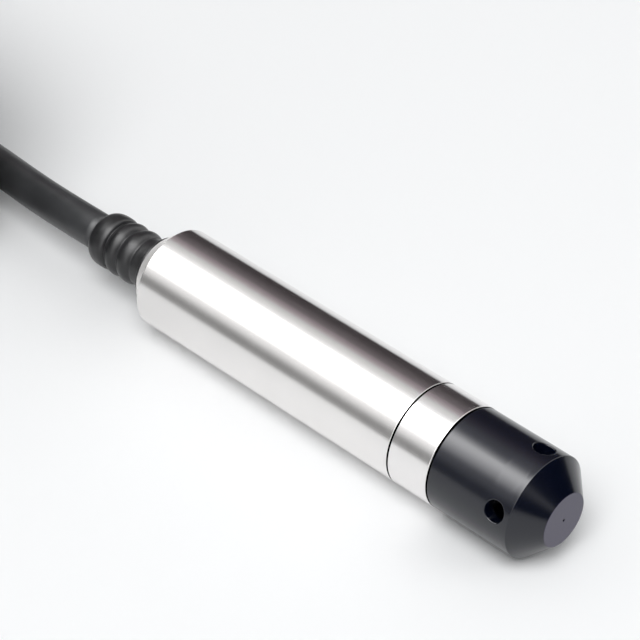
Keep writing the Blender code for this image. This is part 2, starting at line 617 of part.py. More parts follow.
def gland(group, cutters, parent):
    rubber = finish("gland_rubber", (0.03, 0.03, 0.03), 0.7)
    brass = finish("washer_brass", (0.72, 0.52, 0.22), 0.3, 1.0)
    plated = finish("plated_brass", (0.66, 0.65, 0.60), 0.25, 1.0)
    jacket = finish("gland_cable_jacket", (0.03, 0.03, 0.032), 0.5)
    crimp = finish("clamp_steel", (0.60, 0.60, 0.60), 0.3, 1.0)
    hole = CABLE_RADIUS + SEAT
    turned("gland_seal_bush", ring_outline(SEAL_FRONT_X, END_WALL_X + SEAT, FIT_RADIUS, hole, EDGE_BREAK),
           rubber, group, parent, 32)
    turned("gland_thrust_washer", ring_outline(WASHER_FRONT_X, SEAL_FRONT_X + SEAT, FIT_RADIUS, hole),
           brass, group, parent, 32)
    screw = turned("gland_pressure_screw",
                   ring_outline(SCREW_FRONT_X, WASHER_FRONT_X + SEAT, FIT_RADIUS, hole, EDGE_BREAK),
                   plated, group, parent, 32)
    spanner_slots(screw, "gland_screw_slot", SCREW_FRONT_X, GLAND_SCREW_LENGTH / 2, cutters)
    turned("cable_clamp_ring",
           ring_outline(CLAMP_FRONT_X, SCREW_FRONT_X + SEAT, hole + CLAMP_WALL, hole, EDGE_BREAK),
           crimp, group, parent, 32)
    turned("gland_cable", [
        (STUB_FRONT_X, 0.0),
        (STUB_FRONT_X, CABLE_RADIUS),
        (BOOT_REAR_X, CABLE_RADIUS),
        (BOOT_REAR_X, 0.0),
    ], jacket, group, parent, 24)


def bulge(start, width, base, top, steps=5):
    """Points of one rounded rib of the boot, from the flange towards the cable."""
    return [(start - width * i / steps, base + (top - base) * math.sin(math.pi * i / steps) ** BOOT_RIB_POWER)
            for i in range(steps + 1)]


def boot(group, parent):
    rubber = finish("boot_rubber", (0.028, 0.028, 0.03), 0.55)
    hole = CABLE_RADIUS + SEAT
    plug_radius = GLAND_BORE_RADIUS - SEAT
    flange_rear = BOOT_FRONT_X - BOOT_FLANGE
    outline = [
        (BOOT_FRONT_X + BOOT_PLUG_LENGTH, plug_radius),
        (BOOT_FRONT_X, plug_radius),
        (BOOT_FRONT_X, BOOT_FLANGE_RADIUS),
        (flange_rear, BOOT_FLANGE_RADIUS),
        (flange_rear - EDGE_BREAK, BOOT_NECK_RADIUS),
    ]
    for centre, width in BOOT_RIBS:
        outline += bulge(BOOT_FRONT_X - centre + width / 2, width, BOOT_VALLEY_RADIUS, BOOT_RIB_RADIUS)
    dome_start = BOOT_FRONT_X - BOOT_END_RIB_START
    dome_length = dome_start - BOOT_REAR_X
    crest_end = dome_start - dome_length * BOOT_DOME_CREST
    outline += [(dome_start - dome_length * BOOT_DOME_RISE, BOOT_RIB_RADIUS), (crest_end, BOOT_RIB_RADIUS)]
    fall = [math.pi / 2 * i / 5 for i in range(1, 6)]
    outline += [(crest_end + (BOOT_REAR_X - crest_end) * math.sin(angle),
                 BOOT_END_RADIUS + (BOOT_RIB_RADIUS - BOOT_END_RADIUS) * math.cos(angle)) for angle in fall]
    outline += [(BOOT_REAR_X, hole), (BOOT_FRONT_X + BOOT_PLUG_LENGTH, hole)]
    turned("strain_relief_boot", outline, rubber, group, parent, 40)


def hank_edge_x(y):
    """Where a cable whose middle runs at y meets the hank's near fold."""
    side = y - CABLE_RADIUS - HANK_Y
    return HANK_NEAR_X + math.sqrt((HANK_OUTER + SEAT) ** 2 - side ** 2)


def cable(group):
    """The free cable to the hank, the hank as one solid, and the short tail inside it."""
    jacket = finish("cable_jacket", (0.03, 0.03, 0.032), 0.5)
    knots = [Vector(point) for point in ROUTE]
    path = [point for point in smooth_path(knots, CABLE_POINT_SPACING)
            if point.x > hank_edge_x(point.y) + CABLE_RADIUS / 2]
    last = path[-1]
    stop_x = hank_edge_x(last.y)
    after = next(knot for knot in knots if knot.x < stop_x)
    path.append(last.lerp(after, (last.x - stop_x) / (last.x - after.x)))
    path[0].x -= SEAT
    wire("cable_run", path, CABLE_RADIUS, jacket, group, resolution=2)

    edge = CABLE_RADIUS * 0.9
    hank = outline_plate("cable_hank", [
        stadium(HANK_NEAR_X, HANK_FAR_X, HANK_Y, HANK_OUTER - edge),
        stadium(HANK_NEAR_X, HANK_FAR_X, HANK_Y, HANK_INNER + edge),
    ], HANK_HEIGHT, edge, jacket, group)
    hank.location.z = HANK_BASE_Z + HANK_HEIGHT / 2


def tail_y():
    return HANK_Y - HANK_INNER + 2 * SEAT + SLEEVE_WALL + CABLE_RADIUS


def cable_end(group):
    """The far end: the jacket's last stretch, a shrink sleeve, three cores with ferrules and the vent tube."""
    jacket = finish("tail_jacket", (0.03, 0.03, 0.032), 0.5)
    shrink = finish("sleeve_shrink", (0.02, 0.02, 0.02), 0.4)
    tin = finish("ferrule_tin", (0.75, 0.75, 0.74), 0.25, 1.0)
    start_x = HANK_FAR_X + TAIL_START
    stop_x = start_x + TAIL_LENGTH
    y = tail_y()
    wire("cable_tail", [(start_x, y, LOWEST_TURN_Z), (stop_x, y, LOWEST_TURN_Z)], CABLE_RADIUS, jacket, group,
         resolution=2)
    sleeve_in = CABLE_RADIUS + SEAT
    sleeve_out = sleeve_in + SLEEVE_WALL
    sleeve = turned("end_sleeve", ring_outline(stop_x + SLEEVE_LENGTH / 2, stop_x - SLEEVE_LENGTH / 2, sleeve_out,
                                               sleeve_in), shrink, group, None, 20)
    sleeve.location = (0.0, y, LOWEST_TURN_Z)
    kinds = (("red", (0.55, 0.02, 0.02), -1), ("black", (0.02, 0.02, 0.02), 0), ("green", (0.03, 0.30, 0.08), 1))
    for name, color, side in kinds:
        insulation = finish(f"end_core_{name}_jacket", color, 0.45)
        middle = Vector((stop_x + SEAT, y + side * CORE_CIRCLE, LOWEST_TURN_Z))
        away = y + side * CORE_SPREAD
        halfway = y + side * (CORE_CIRCLE + CORE_SPREAD) / 2
        knots = [middle, middle + Vector((SLEEVE_LENGTH / 2, 0.0, 0.0)),
                 Vector((stop_x + CORE_LENGTH * CORE_DROP, halfway, LOWEST_TURN_Z / 2)),
                 Vector((stop_x + CORE_LENGTH * CORE_LAND, away, CORE_RADIUS)),
                 Vector((stop_x + CORE_LENGTH, away, CORE_RADIUS))]
        wire(f"end_core_{name}", smooth_path(knots, CORE_POINT_SPACING), CORE_RADIUS, insulation, group)
        rod(f"end_ferrule_{name}", FERRULE_RADIUS, FERRULE_LENGTH,
            (stop_x + CORE_LENGTH + SEAT + FERRULE_LENGTH / 2, away, CORE_RADIUS), (0.0, math.pi / 2, 0.0), tin,
            group, steps=12)
    vent = finish("end_vent_tube_wall", (0.80, 0.80, 0.78), 0.4)
    above = LOWEST_TURN_Z + CORE_RADIUS + SEAT + VENT_RADIUS
    knots = [Vector((stop_x + SEAT, y, above)), Vector((stop_x + SLEEVE_LENGTH / 2, y, above)),
             Vector((stop_x + CORE_LENGTH * VENT_LENGTH, y, above))]
    wire("end_vent_tube", smooth_path(knots, CORE_POINT_SPACING), VENT_RADIUS, vent, group)


def tie_outline(half_width, half_height, grow):
    """A rounded rectangle that stands off the bundle by a distance, as (sideways, up) points."""
    radius = CABLE_RADIUS + grow
    x = half_width - CABLE_RADIUS
    y = half_height - CABLE_RADIUS
    return (rounded_corner(x, y, radius, 0) + rounded_corner(-x, y, radius, 1) + rounded_corner(-x, -y, radius, 2)
            + rounded_corner(x, -y, radius, 3))


def tie_with_lock(half_width, half_height, grow):
    """The tie's outer outline with its lock standing up on top."""
    outline = tie_outline(half_width, half_height, grow)
    half_lock = TIE_HEAD[0] / 2
    top = half_height + grow
    corner = len(outline) // 4
    lock = [(half_lock, top), (half_lock, top + TIE_HEAD[1]), (-half_lock, top + TIE_HEAD[1]), (-half_lock, top)]
    return outline[:corner] + lock + outline[corner:]


def hank_ties(group):
    nylon = finish("tie_nylon", (0.04, 0.04, 0.04), 0.4)
    half_width = (HANK_OUTER - HANK_INNER) / 2
    half_height = HANK_HEIGHT / 2
    bundle = HANK_INNER + half_width
    middle_z = HANK_BASE_Z + half_height
    places = (("hank_tie_side", ((HANK_NEAR_X + HANK_FAR_X) / 2, HANK_Y + bundle), math.pi / 2),
              ("hank_tie_end", (HANK_FAR_X - bundle, HANK_Y), 0.0))
    for name, (x, y), turn in places:
        tie = outline_plate(name, [tie_with_lock(half_width, half_height, TIE_GAP + TIE_THICKNESS),
                                   tie_outline(half_width, half_height, TIE_GAP)], TIE_WIDTH, 0.0, nylon, group)
        tie.location = (x, y, middle_z)
        tie.rotation_euler = (math.pi / 2, 0.0, turn)


def main():
    clear_scene()
    group = new_collection("submersible_pressure_sensor")
    cutters = new_collection("cutters")
    axis = bpy.data.objects.new("probe_axis", None)
    group.objects.link(axis)
    axis.location = (0.0, 0.0, BODY_RADIUS)
    housing(group, axis)
    sensor_head(group, axis)
    nose_cap(group, cutters, axis)
    pressure_cell(group, cutters, axis)
    electronics(group, cutters, axis)
    gland(group, cutters, axis)
    boot(group, axis)
    cable(group)
    cable_end(group)
    hank_ties(group)


main()
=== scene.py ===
"""The submersible pressure sensor's surfaces and finishes, its floor, its light and its camera.

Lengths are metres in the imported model's frame: the probe's axis runs along X at one tube radius above the floor, the
nose towards +X and the cable towards -X. Every new surface is a grid of points worked out with numpy.
"""

import logging
import math
from dataclasses import dataclass
from enum import Enum
from typing import Optional, Sequence

import bmesh
import bpy
import numpy as np
from mathutils import Matrix, Vector


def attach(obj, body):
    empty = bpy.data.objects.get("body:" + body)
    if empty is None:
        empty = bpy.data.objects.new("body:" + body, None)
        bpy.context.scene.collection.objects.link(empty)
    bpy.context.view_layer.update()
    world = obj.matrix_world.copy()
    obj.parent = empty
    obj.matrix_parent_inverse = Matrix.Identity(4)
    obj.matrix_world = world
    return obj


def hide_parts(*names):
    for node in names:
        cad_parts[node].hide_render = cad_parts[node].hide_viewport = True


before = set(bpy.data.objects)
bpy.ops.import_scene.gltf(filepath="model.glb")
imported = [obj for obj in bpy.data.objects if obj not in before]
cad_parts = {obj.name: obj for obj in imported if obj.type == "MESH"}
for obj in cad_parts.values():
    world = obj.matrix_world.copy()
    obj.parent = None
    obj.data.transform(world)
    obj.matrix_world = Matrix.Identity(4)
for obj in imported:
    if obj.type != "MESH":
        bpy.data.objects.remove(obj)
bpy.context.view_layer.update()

LOG = logging.getLogger("pressure_sensor")
MM = 0.001
AXIS_HEIGHT = 11.0 * MM  # the probe's axis above the floor
FINE_SIDES = 256  # round the polished pieces, whose facets would show
CORD_SIDES = 24
ROD_SIDES = 20  # round the thin wires at the cable's end
ARC_POINTS = 6  # on each rounded corner of an outline
LEAD = 0.05 * MM  # how far before and after such an arc its lead points stand

Pair = tuple[float, float]
Point = tuple[float, float, float]
Colour = tuple[float, float, float]
Socket = bpy.types.NodeSocket


# Surfaces


def points_at(x: object, y: object, z: object) -> np.ndarray:
    """Points from their coordinates, each of which is an array or one number for all."""
    return np.stack(np.broadcast_arrays(x, y, z), axis=-1)


def whole_turn(count: int) -> np.ndarray:
    """Evenly spaced angles round one turn, from 0."""
    return np.linspace(0.0, 2 * math.pi, count, endpoint=False)


@dataclass(frozen=True)
class Patch:
    """A grid of points that becomes a sheet of quads.

    Attributes:
        points: Places, shaped (rows, columns, 3).
        loop_rows: Whether the last row joins the first.
        loop_columns: Whether the last column joins the first.
    """

    points: np.ndarray
    loop_rows: bool = False
    loop_columns: bool = True

    def quads(self) -> np.ndarray:
        """Corner numbers of the quads, shaped (count, 4): each cell takes its own corner and the next ones."""
        rows, columns = self.points.shape[:2]
        last_row = rows if self.loop_rows else rows - 1
        last_column = columns if self.loop_columns else columns - 1
        row, column = np.meshgrid(np.arange(last_row), np.arange(last_column), indexing="ij")
        row_after = (row + 1) % rows
        column_after = (column + 1) % columns
        corners = (row * columns + column, row * columns + column_after,
                   row_after * columns + column_after, row_after * columns + column)
        return np.stack(corners, axis=-1).reshape(-1, 4)


def fill_mesh(name: str, points: np.ndarray, quads: np.ndarray) -> bpy.types.Mesh:
    """Puts points and quads into a new mesh.

    Args:
        name: The mesh's name.
        points: Places, shaped (count, 3).
        quads: Corner numbers, shaped (count, 4).

    Returns:
        The mesh, with smooth faces.
    """
    mesh = bpy.data.meshes.new(name)
    mesh.vertices.add(len(points))
    mesh.vertices.foreach_set("co", np.ascontiguousarray(points, dtype=np.float32).ravel())
    mesh.loops.add(quads.size)
    mesh.loops.foreach_set("vertex_index", quads.astype(np.int32).ravel())
    mesh.polygons.add(len(quads))
    mesh.polygons.foreach_set("loop_start", np.arange(0, quads.size, 4, dtype=np.int32))
    mesh.polygons.foreach_set("use_smooth", np.ones(len(quads), dtype=bool))
    mesh.update(calc_edges=True)
    return mesh


def place_new(name: str, data: bpy.types.ID) -> bpy.types.Object:
    """A new object that holds the data, linked to the scene."""
    item = bpy.data.objects.new(name, data)
    bpy.context.scene.collection.objects.link(item)
    return item


def solid_from(name: str, patches: Sequence[Patch], merge: float = 0.0002 * MM) -> bpy.types.Object:
    """Joins patches into one closed object: points that meet are merged, and faces are turned outwards.

    Args:
        name: The object's name.
        patches: The grids that together close the surface.
        merge: Distance below which points count as one.

    Returns:
        The object, linked to the scene.
    """
    flat = [patch.points.reshape(-1, 3) for patch in patches]
    starts = np.cumsum([0] + [len(points) for points in flat])
    quads = np.concatenate([patch.quads() + start for patch, start in zip(patches, starts)])
    mesh = fill_mesh(name, np.concatenate(flat), quads)
    shape = bmesh.new()
    shape.from_mesh(mesh)
    bmesh.ops.remove_doubles(shape, verts=shape.verts, dist=merge)
    bmesh.ops.recalc_face_normals(shape, faces=shape.faces)
    shape.to_mesh(mesh)
    shape.free()
    return place_new(name, mesh)


def unit(vectors: np.ndarray) -> np.ndarray:
    """The vectors divided by their lengths, with a zero vector left at zero."""
    length = np.linalg.norm(vectors, axis=-1, keepdims=True)
    return vectors / np.where(length < 1e-12, 1.0, length)


def rounded_outline(corners: Sequence[Point], closed: bool = False) -> np.ndarray:
    """A turned piece's outline with each corner replaced by an arc that touches both of its edges.

    The arc's centre lies on the corner's bisector, at the rounding divided by the sine of half the corner, and its
    points turn evenly from one touching point to the other. A lead point before and after each arc keeps the flats
    flat to the eye.

    Args:
        corners: (place along X, radius, rounding) of each corner.
        closed: Whether the last corner joins the first.

    Returns:
        The outline as (x, radius) points.
    """
    table = np.array(corners, dtype=float)
    spots = table[:, :2]
    rounding = np.maximum(table[:, 2], 1e-9)
    to_before = unit(np.roll(spots, 1, axis=0) - spots)
    to_after = unit(np.roll(spots, -1, axis=0) - spots)
    half = np.arccos(np.clip((to_before * to_after).sum(axis=1), -1.0, 1.0)) / 2
    reach = rounding / np.tan(half)
    bisector = unit(to_before + to_after)
    centre = spots + bisector * (rounding / np.sin(half))[:, None]
    start = spots + to_before * reach[:, None] - centre
    stop = spots + to_after * reach[:, None] - centre
    sweep = (math.pi - 2 * half)[:, None, None]
    share = np.linspace(0.0, 1.0, ARC_POINTS)[None, :, None]
    arc = (np.sin((1 - share) * sweep) * start[:, None] + np.sin(share * sweep) * stop[:, None]) / np.sin(sweep)
    arc = centre[:, None] + arc
    before = arc[:, :1] + (to_before * LEAD)[:, None]
    after = arc[:, -1:] + (to_after * LEAD)[:, None]
    rows = np.concatenate([before, arc, after], axis=1)
    if not closed:
        rows[0] = spots[0]
        rows[-1] = spots[-1]
    sharp = table[:, 2] <= 0
    rows[sharp] = spots[sharp][:, None]
    line = rows.reshape(-1, 2)
    fresh = np.ones(len(line), dtype=bool)
    fresh[1:] = np.linalg.norm(np.diff(line, axis=0), axis=1) > 1e-8
    return line[fresh]


def turn(outline: np.ndarray, sides: int = FINE_SIDES, start: float = 0.0, middle: Pair = (0.0, AXIS_HEIGHT),
         relief: np.ndarray | float = 0.0) -> np.ndarray:
    """Turns an outline about a line along X: y is the radius times the cosine, z the radius times the sine.

    Args:
        outline: (x, radius) points.
        sides: Facets round the axis.
        start: Angle of the first column, from +Y towards +Z.
        middle: (y, z) of the axis.
        relief: Distances added to the radius, shaped (points, sides).

    Returns:
        Points shaped (rows, sides, 3).
    """
    angle = start + whole_turn(sides)
    radius = outline[:, 1:] + relief
    return points_at(outline[:, :1], middle[0] + radius * np.cos(angle), middle[1] + radius * np.sin(angle))


def smooth_step(value: np.ndarray) -> np.ndarray:
    """Zero below 0 and one above 1, with the even curve 3t^2 - 2t^3 between."""
    share = np.clip(value, 0.0, 1.0)
    return share * share * (3 - 2 * share)


def through(knots: Sequence[Point], spacing: float) -> np.ndarray:
    """Points on the smooth curve through the knots: each stretch is a cubic whose slope at a knot is half the step
    between that knot's neighbours.

    Args:
        knots: Places that the curve passes.
        spacing: Rough distance between its points.

    Returns:
        Points shaped (count, 3).
    """
    known = np.array(knots, dtype=float)
    ends = np.concatenate([[2 * known[0] - known[1]], known, [2 * known[-1] - known[-2]]])
    pieces = []
    for before, start, stop, after in zip(ends, ends[1:], ends[2:], ends[3:]):
        count = max(2, round(float(np.linalg.norm(stop - start)) / spacing))
        t = np.linspace(0.0, 1.0, count, endpoint=False)[:, None]
        pieces.append(0.5 * (2 * start + (stop - before) * t + (2 * before - 5 * start + 4 * stop - after) * t ** 2
                             + (3 * start - before - 3 * stop + after) * t ** 3))
    return np.concatenate(pieces + [known[-1:]])


def carried_ring(path: np.ndarray, radius: float, sides: int) -> np.ndarray:
    """A round section carried along a path: each ring lies square to the path, one way level and one way up.

    Args:
        path: Points shaped (count, 3).
        radius: The section's radius.
        sides: Facets round the section.

    Returns:
        Points shaped (count, sides, 3).
    """
    along = unit(np.gradient(path, axis=0))
    level = unit(np.cross(along, np.array((0.0, 0.0, 1.0))))
    above = np.cross(level, along)
    angle = whole_turn(sides)[:, None]
    return path[:, None] + (level[:, None] * np.cos(angle) + above[:, None] * np.sin(angle)) * radius


def superblock(middle: Point, half: Point, power: float) -> np.ndarray:
    """A block with soft edges: each coordinate is its half size times a sine or cosine raised to a small power.

    Args:
        middle: Its centre.
        half: Half its size along X, Y and Z.
        power: 1 gives an ellipsoid, and near 0 a sharp block.

    Returns:
        Points in 24 rows from bottom to top, each of 48 round it.
    """
    height = np.linspace(-math.pi / 2, math.pi / 2, 24)[:, None]
    angle = np.linspace(-math.pi, math.pi, 48, endpoint=False)[None, :]

    def soft(value: np.ndarray) -> np.ndarray:
        """The value's size to the power, with its sign kept."""
        return np.sign(value) * np.abs(value) ** power

    x = half[0] * soft(np.cos(height)) * soft(np.cos(angle))
    y = half[1] * soft(np.cos(height)) * soft(np.sin(angle))
    return points_at(x, y, half[2] * soft(np.sin(height))) + np.array(middle)


# Finishes


class Grain(Enum):
    """How a finish's fine relief runs over a piece."""

    EVEN = "even"
    TURNED = "turned"
    DRAWN = "drawn"
    CORD = "cord"


class Graph:
    """The node tree of a material or a world, with short calls for the nodes that are used here."""

    def __init__(self, owner: bpy.types.ID) -> None:
        """Takes the owner's own tree."""
        owner.use_nodes = True
        self.tree = owner.node_tree

    def feed(self, node: bpy.types.Node, inputs: dict) -> None:
        """Links each input that is given a socket, and sets each that is given anything else."""
        for key, value in inputs.items():
            if isinstance(value, Socket):
                self.tree.links.new(value, node.inputs[key])
            else:
                node.inputs[key].default_value = value

    def node(self, kind: str, inputs: Optional[dict] = None, **values: object) -> bpy.types.Node:
        """Adds a node.

        Args:
            kind: Its type, without the ShaderNode that Blender puts first.
            inputs: What its inputs are given, by name or number.
            values: Its own properties.

        Returns:
            The node.
        """
        made = self.tree.nodes.new("ShaderNode" + kind)
        for key, value in values.items():
            setattr(made, key, value)
        self.feed(made, inputs or {})
        return made

    def math(self, operation: str, *terms: object) -> Socket:
        """One sum of numbers or sockets, by Blender's name of it, such as MULTIPLY."""
        return self.node("Math", dict(enumerate(terms)), operation=operation).outputs[0]

    def noise(self, vector: Socket, scale: float, detail: float) -> Socket:
        """A cloudy pattern from 0 to 1 over a vector."""
        return self.node("TexNoise", {"Vector": vector, "Scale": scale, "Detail": detail}).outputs["Fac"]

    def span(self, value: Socket, low: float, high: float, source: Pair = (0.3, 0.7)) -> Socket:
        """Maps a value from a source range onto low to high, held at the ends."""
        limits = dict(zip(("From Min", "From Max", "To Min", "To Max"), (*source, low, high)))
        return self.node("MapRange", {"Value": value, **limits}).outputs["Result"]

    def blend(self, share: Socket, first: Socket | Colour, second: Colour) -> Socket:
        """A colour between two, by a share."""
        start = first if isinstance(first, Socket) else (*first, 1.0)
        return self.node("Mix", {"Factor": share, "A": start, "B": (*second, 1.0)}, data_type="RGBA").outputs["Result"]

    def bump(self, height: Socket, strength: float, distance: float) -> Socket:
        """The normal over a relief of that height."""
        return self.node("Bump", {"Height": height, "Strength": strength, "Distance": distance}).outputs["Normal"]

    def coordinate(self, name: str) -> Socket:
        """One of the texture coordinates."""
        return self.node("TexCoord").outputs[name]

    def parts(self, vector: Socket) -> Sequence[Socket]:
        """A vector's X, Y and Z."""
        return tuple(self.node("SeparateXYZ", {"Vector": vector}).outputs)

    def along(self) -> Socket:
        """The place along X."""
        return self.parts(self.coordinate("Object"))[0]

    def stretched(self, vector: Socket, share: float) -> Socket:
        """The vector with its first part brought down to a share, which draws a pattern out along it."""
        return self.node("Mapping", {"Vector": vector, "Scale": (share, 1.0, 1.0)}).outputs["Vector"]

    def place(self, grain: Grain) -> Socket:
        """The vector that a grain's pattern runs over.

        Args:
            grain: EVEN is the plain place. TURNED keeps only the place along the axis and the distance from it, so the
                pattern is rings. DRAWN is stretched along X. CORD is the cord's own map, stretched along it.

        Returns:
            The vector's socket.
        """
        if grain is Grain.CORD:
            return self.stretched(self.coordinate("UV"), 0.06)
        lowered = {"Vector": self.coordinate("Object"), "Location": (0.0, 0.0, -AXIS_HEIGHT)}
        centred = self.node("Mapping", lowered).outputs["Vector"]
        if grain is Grain.EVEN:
            return centred
        if grain is Grain.DRAWN:
            return self.stretched(centred, 0.03)
        x, y, z = self.parts(centred)
        squares = self.math("ADD", self.math("MULTIPLY", y, y), self.math("MULTIPLY", z, z))
        return self.node("CombineXYZ", {"X": x, "Y": self.math("SQRT", squares)}).outputs["Vector"]


@dataclass(frozen=True)
class Finish:
    """One surface finish: a colour that clouds a little, a roughness that does too, and a fine relief.

    Attributes:
        name: The material's name.
        colour: Linear base colour.
        roughness: Middle roughness.
        metallic: 1 for bare metal.
        specular: Specular level.
        coat: Clear coat weight.
        grain: How the relief runs.
        grain_size: Width of one mark of it, in millimetres.
        relief: Depth of it, in millimetres.
        cloud: Share by which the colour changes.
        cloud_size: Size of those changes, in millimetres.
        smudge: How far the roughness moves either way.
        cloud_wear: Share of that movement which follows the clouds. The rest follows the grain.
    """

    name: str
    colour: Colour
    roughness: float
    metallic: float = 0.0
    specular: float = 0.5
    coat: float = 0.0
    grain: Grain = Grain.EVEN
    grain_size: float = 0.25
    relief: float = 0.01
    cloud: float = 0.08
    cloud_size: float = 4.0
    smudge: float = 0.04
    cloud_wear: float = 0.6

    def base(self, graph: Graph, clouds: Socket) -> Socket:
        """The base colour's socket: the colour made a little darker and lighter by the clouds.

        Args:
            graph: The material's nodes.
            clouds: The large pattern, from 0 to 1.

        Returns:
            The colour's socket.
        """
        dark = tuple(channel * (1 - self.cloud) for channel in self.colour)
        light = tuple(min(1.0, channel * (1 + self.cloud)) for channel in self.colour)
        return graph.blend(graph.span(clouds, 0.0, 1.0), dark, light)

    def rough(self, graph: Graph, worn: Socket) -> Socket:
        """The roughness, moved either way by the worn pattern."""
        return graph.span(worn, self.roughness - self.smudge, self.roughness + self.smudge)

    def material(self) -> bpy.types.Material:
        """Builds the finish's material."""
        made = bpy.data.materials.new(self.name)
        graph = Graph(made)
        clouds = graph.noise(graph.place(Grain.EVEN), 1 / (self.cloud_size * MM), 3.0)
        marks = graph.noise(graph.place(self.grain), 1 / (self.grain_size * MM), 3.0)
        worn = graph.math("ADD", graph.math("MULTIPLY", clouds, self.cloud_wear),
                          graph.math("MULTIPLY", marks, 1 - self.cloud_wear))
        graph.feed(graph.tree.nodes["Principled BSDF"], {
            "Metallic": self.metallic, "Specular IOR Level": self.specular, "Coat Weight": self.coat,
            "Base Color": self.base(graph, clouds), "Roughness": self.rough(graph, worn),
            "Normal": graph.bump(marks, 1.0, self.relief * MM)})
        return made


@dataclass(frozen=True)
class SolderMask(Finish):
    """Green lacquer over copper, whose tracks show as a lighter green in a square-cornered maze.

    Attributes:
        track: Width of one track, in metres.
        copper_tint: Colour over copper.
    """

    track: float = 0.5 * MM
    copper_tint: Colour = (0.05, 0.33, 0.14)

    def base(self, graph: Graph, clouds: Socket) -> Socket:
        """The mask's colour: a brick pattern of tracks lightens it where copper runs below."""
        black, white = (0.0, 0.0, 0.0, 1.0), (1.0, 1.0, 1.0, 1.0)
        bricks = graph.node("TexBrick", {
            "Vector": graph.place(Grain.EVEN), "Scale": 0.2 / self.track, "Mortar Size": 0.06,
            "Color1": black, "Color2": black, "Mortar": white}, offset=0.37, squash=0.6)
        return graph.blend(bricks.outputs["Fac"], self.colour, self.copper_tint)


@dataclass(frozen=True)
class WornPlasticWithSheen(Finish):
    """Turned plastic with a few pale rub marks, and a nose face painted paler as a painted reflection of the floor and
    a painted sheen.

    Attributes:
        rub_colour: Colour of the marks.
        rub_share: How strongly they show.
        rub_pattern: Scale and detail of the cloud that they are the peaks of.
        rub_peaks: The part of its range over which they rise.
        nose_sheen_colour: Colour of the nose face, a painted reflection and sheen.
        nose_face_from: Place along X from which the nose face takes that painted colour.
    """

    rub_colour: Colour = (0.09, 0.09, 0.10)
    rub_share: float = 0.25
    rub_pattern: Pair = (1600.0, 4.0)
    rub_peaks: Pair = (0.62, 0.75)
    # painted reflection and sheen: the nose face's paler violet colour stands in for the floor's reflection
    nose_sheen_colour: Colour = (0.030, 0.024, 0.060)
    nose_face_from: float = 62.47 * MM

    def base(self, graph: Graph, clouds: Socket) -> Socket:
        """The plastic's colour: a second cloud, held to its peaks, lays the rub marks over it, and the nose face takes
        the painted reflection and sheen.
        """
        peaks = graph.noise(graph.place(Grain.DRAWN), *self.rub_pattern)
        rubbed = graph.blend(graph.span(peaks, 0.0, self.rub_share, self.rub_peaks), self.colour, self.rub_colour)
        x = graph.along()
        # painted reflection and sheen on the nose face
        return graph.blend(graph.math("GREATER_THAN", x, self.nose_face_from), rubbed, self.nose_sheen_colour)


@dataclass(frozen=True)
class SeamedSteel(Finish):
    """Steel whose walls in a seam are painted dark as the seam's shade, and whose coned end is left as it was turned.

    Attributes:
        seams: (start, stop) along X of each seam's walls.
        seam_shade_colour: Painted shade on the seam's walls.
        cone_from: Place along X below which the steel is as turned.
        cone_roughness: Roughness of that end.
    """

    seams: tuple[Pair, ...] = ()
    # painted shade: the walls of the narrow seam are coloured dark for the shade in the gap
    seam_shade_colour: Colour = (0.012, 0.012, 0.014)
    cone_from: float = -1.0
    cone_roughness: float = 0.55

    def base(self, graph: Graph, clouds: Socket) -> Socket:
        """The steel's clouded colour, with painted shade laid over it on the seams' walls between their places."""
        colour = super().base(graph, clouds)
        x = graph.along()
        for start, stop in self.seams:
            # painted shade on the seam's walls
            inside = graph.math("MULTIPLY", graph.math("GREATER_THAN", x, start), graph.math("LESS_THAN", x, stop))
            colour = graph.blend(inside, colour, self.seam_shade_colour)
        return colour

    def rough(self, graph: Graph, worn: Socket) -> Socket:
        """The polished roughness, raised on the coned end."""
        x = graph.along()
        coned = graph.math("LESS_THAN", x, self.cone_from)
        more = graph.math("MULTIPLY", coned, self.cone_roughness - self.roughness)
        return graph.math("ADD", super().rough(graph, worn), more)


TURNED_METAL = {"metallic": 1.0, "grain": Grain.TURNED}
# the seams given to both steels carry painted shade on their walls
POLISHED_STEEL = SeamedSteel("polished_steel", (0.80, 0.785, 0.775), 0.14, **TURNED_METAL, grain_size=0.16,
                             relief=0.0012, cloud=0.015, cloud_size=12, smudge=0.03, seams=((27.91 * MM, 28.2 * MM),),
                             cone_from=-41.22 * MM)
TURNED_STEEL = SeamedSteel("turned_steel", (0.81, 0.795, 0.79), 0.15, **TURNED_METAL, grain_size=0.12, relief=0.0016,
                           cloud=0.015, cloud_size=9, smudge=0.03, seams=((28.1 * MM, 28.39 * MM),
                           (37.87 * MM, 38.1 * MM)))
BLACK_ACETAL = WornPlasticWithSheen("black_acetal", (0.0014, 0.0026, 0.0085), 0.18, specular=0.62, grain=Grain.TURNED,
                           grain_size=0.10, relief=0.0014, cloud=0.1, smudge=0.03, rub_share=0.05)
BOOT_RUBBER = Finish("boot_rubber", (0.016, 0.016, 0.017), 0.35, specular=0.45, grain_size=0.2, relief=0.010,
                     cloud=0.25, cloud_size=2.5, smudge=0.06)
CABLE_JACKET = Finish("cable_jacket", (0.036, 0.037, 0.039), 0.38, specular=0.50, grain=Grain.CORD, grain_size=0.22,
                      relief=0.007, cloud=0.18, cloud_size=5, smudge=0.05)
INNER_JACKET = Finish("inner_jacket", (0.036, 0.037, 0.039), 0.38, specular=0.50, grain=Grain.DRAWN, grain_size=0.22,
                      relief=0.006, cloud=0.18, smudge=0.05)
SEAL_RUBBER = Finish("seal_rubber", (0.018, 0.018, 0.020), 0.48, grain_size=0.15, relief=0.006, cloud=0.2)
GLAND_RUBBER = Finish("gland_rubber", (0.026, 0.026, 0.028), 0.62, grain_size=0.3, relief=0.012, cloud=0.2)
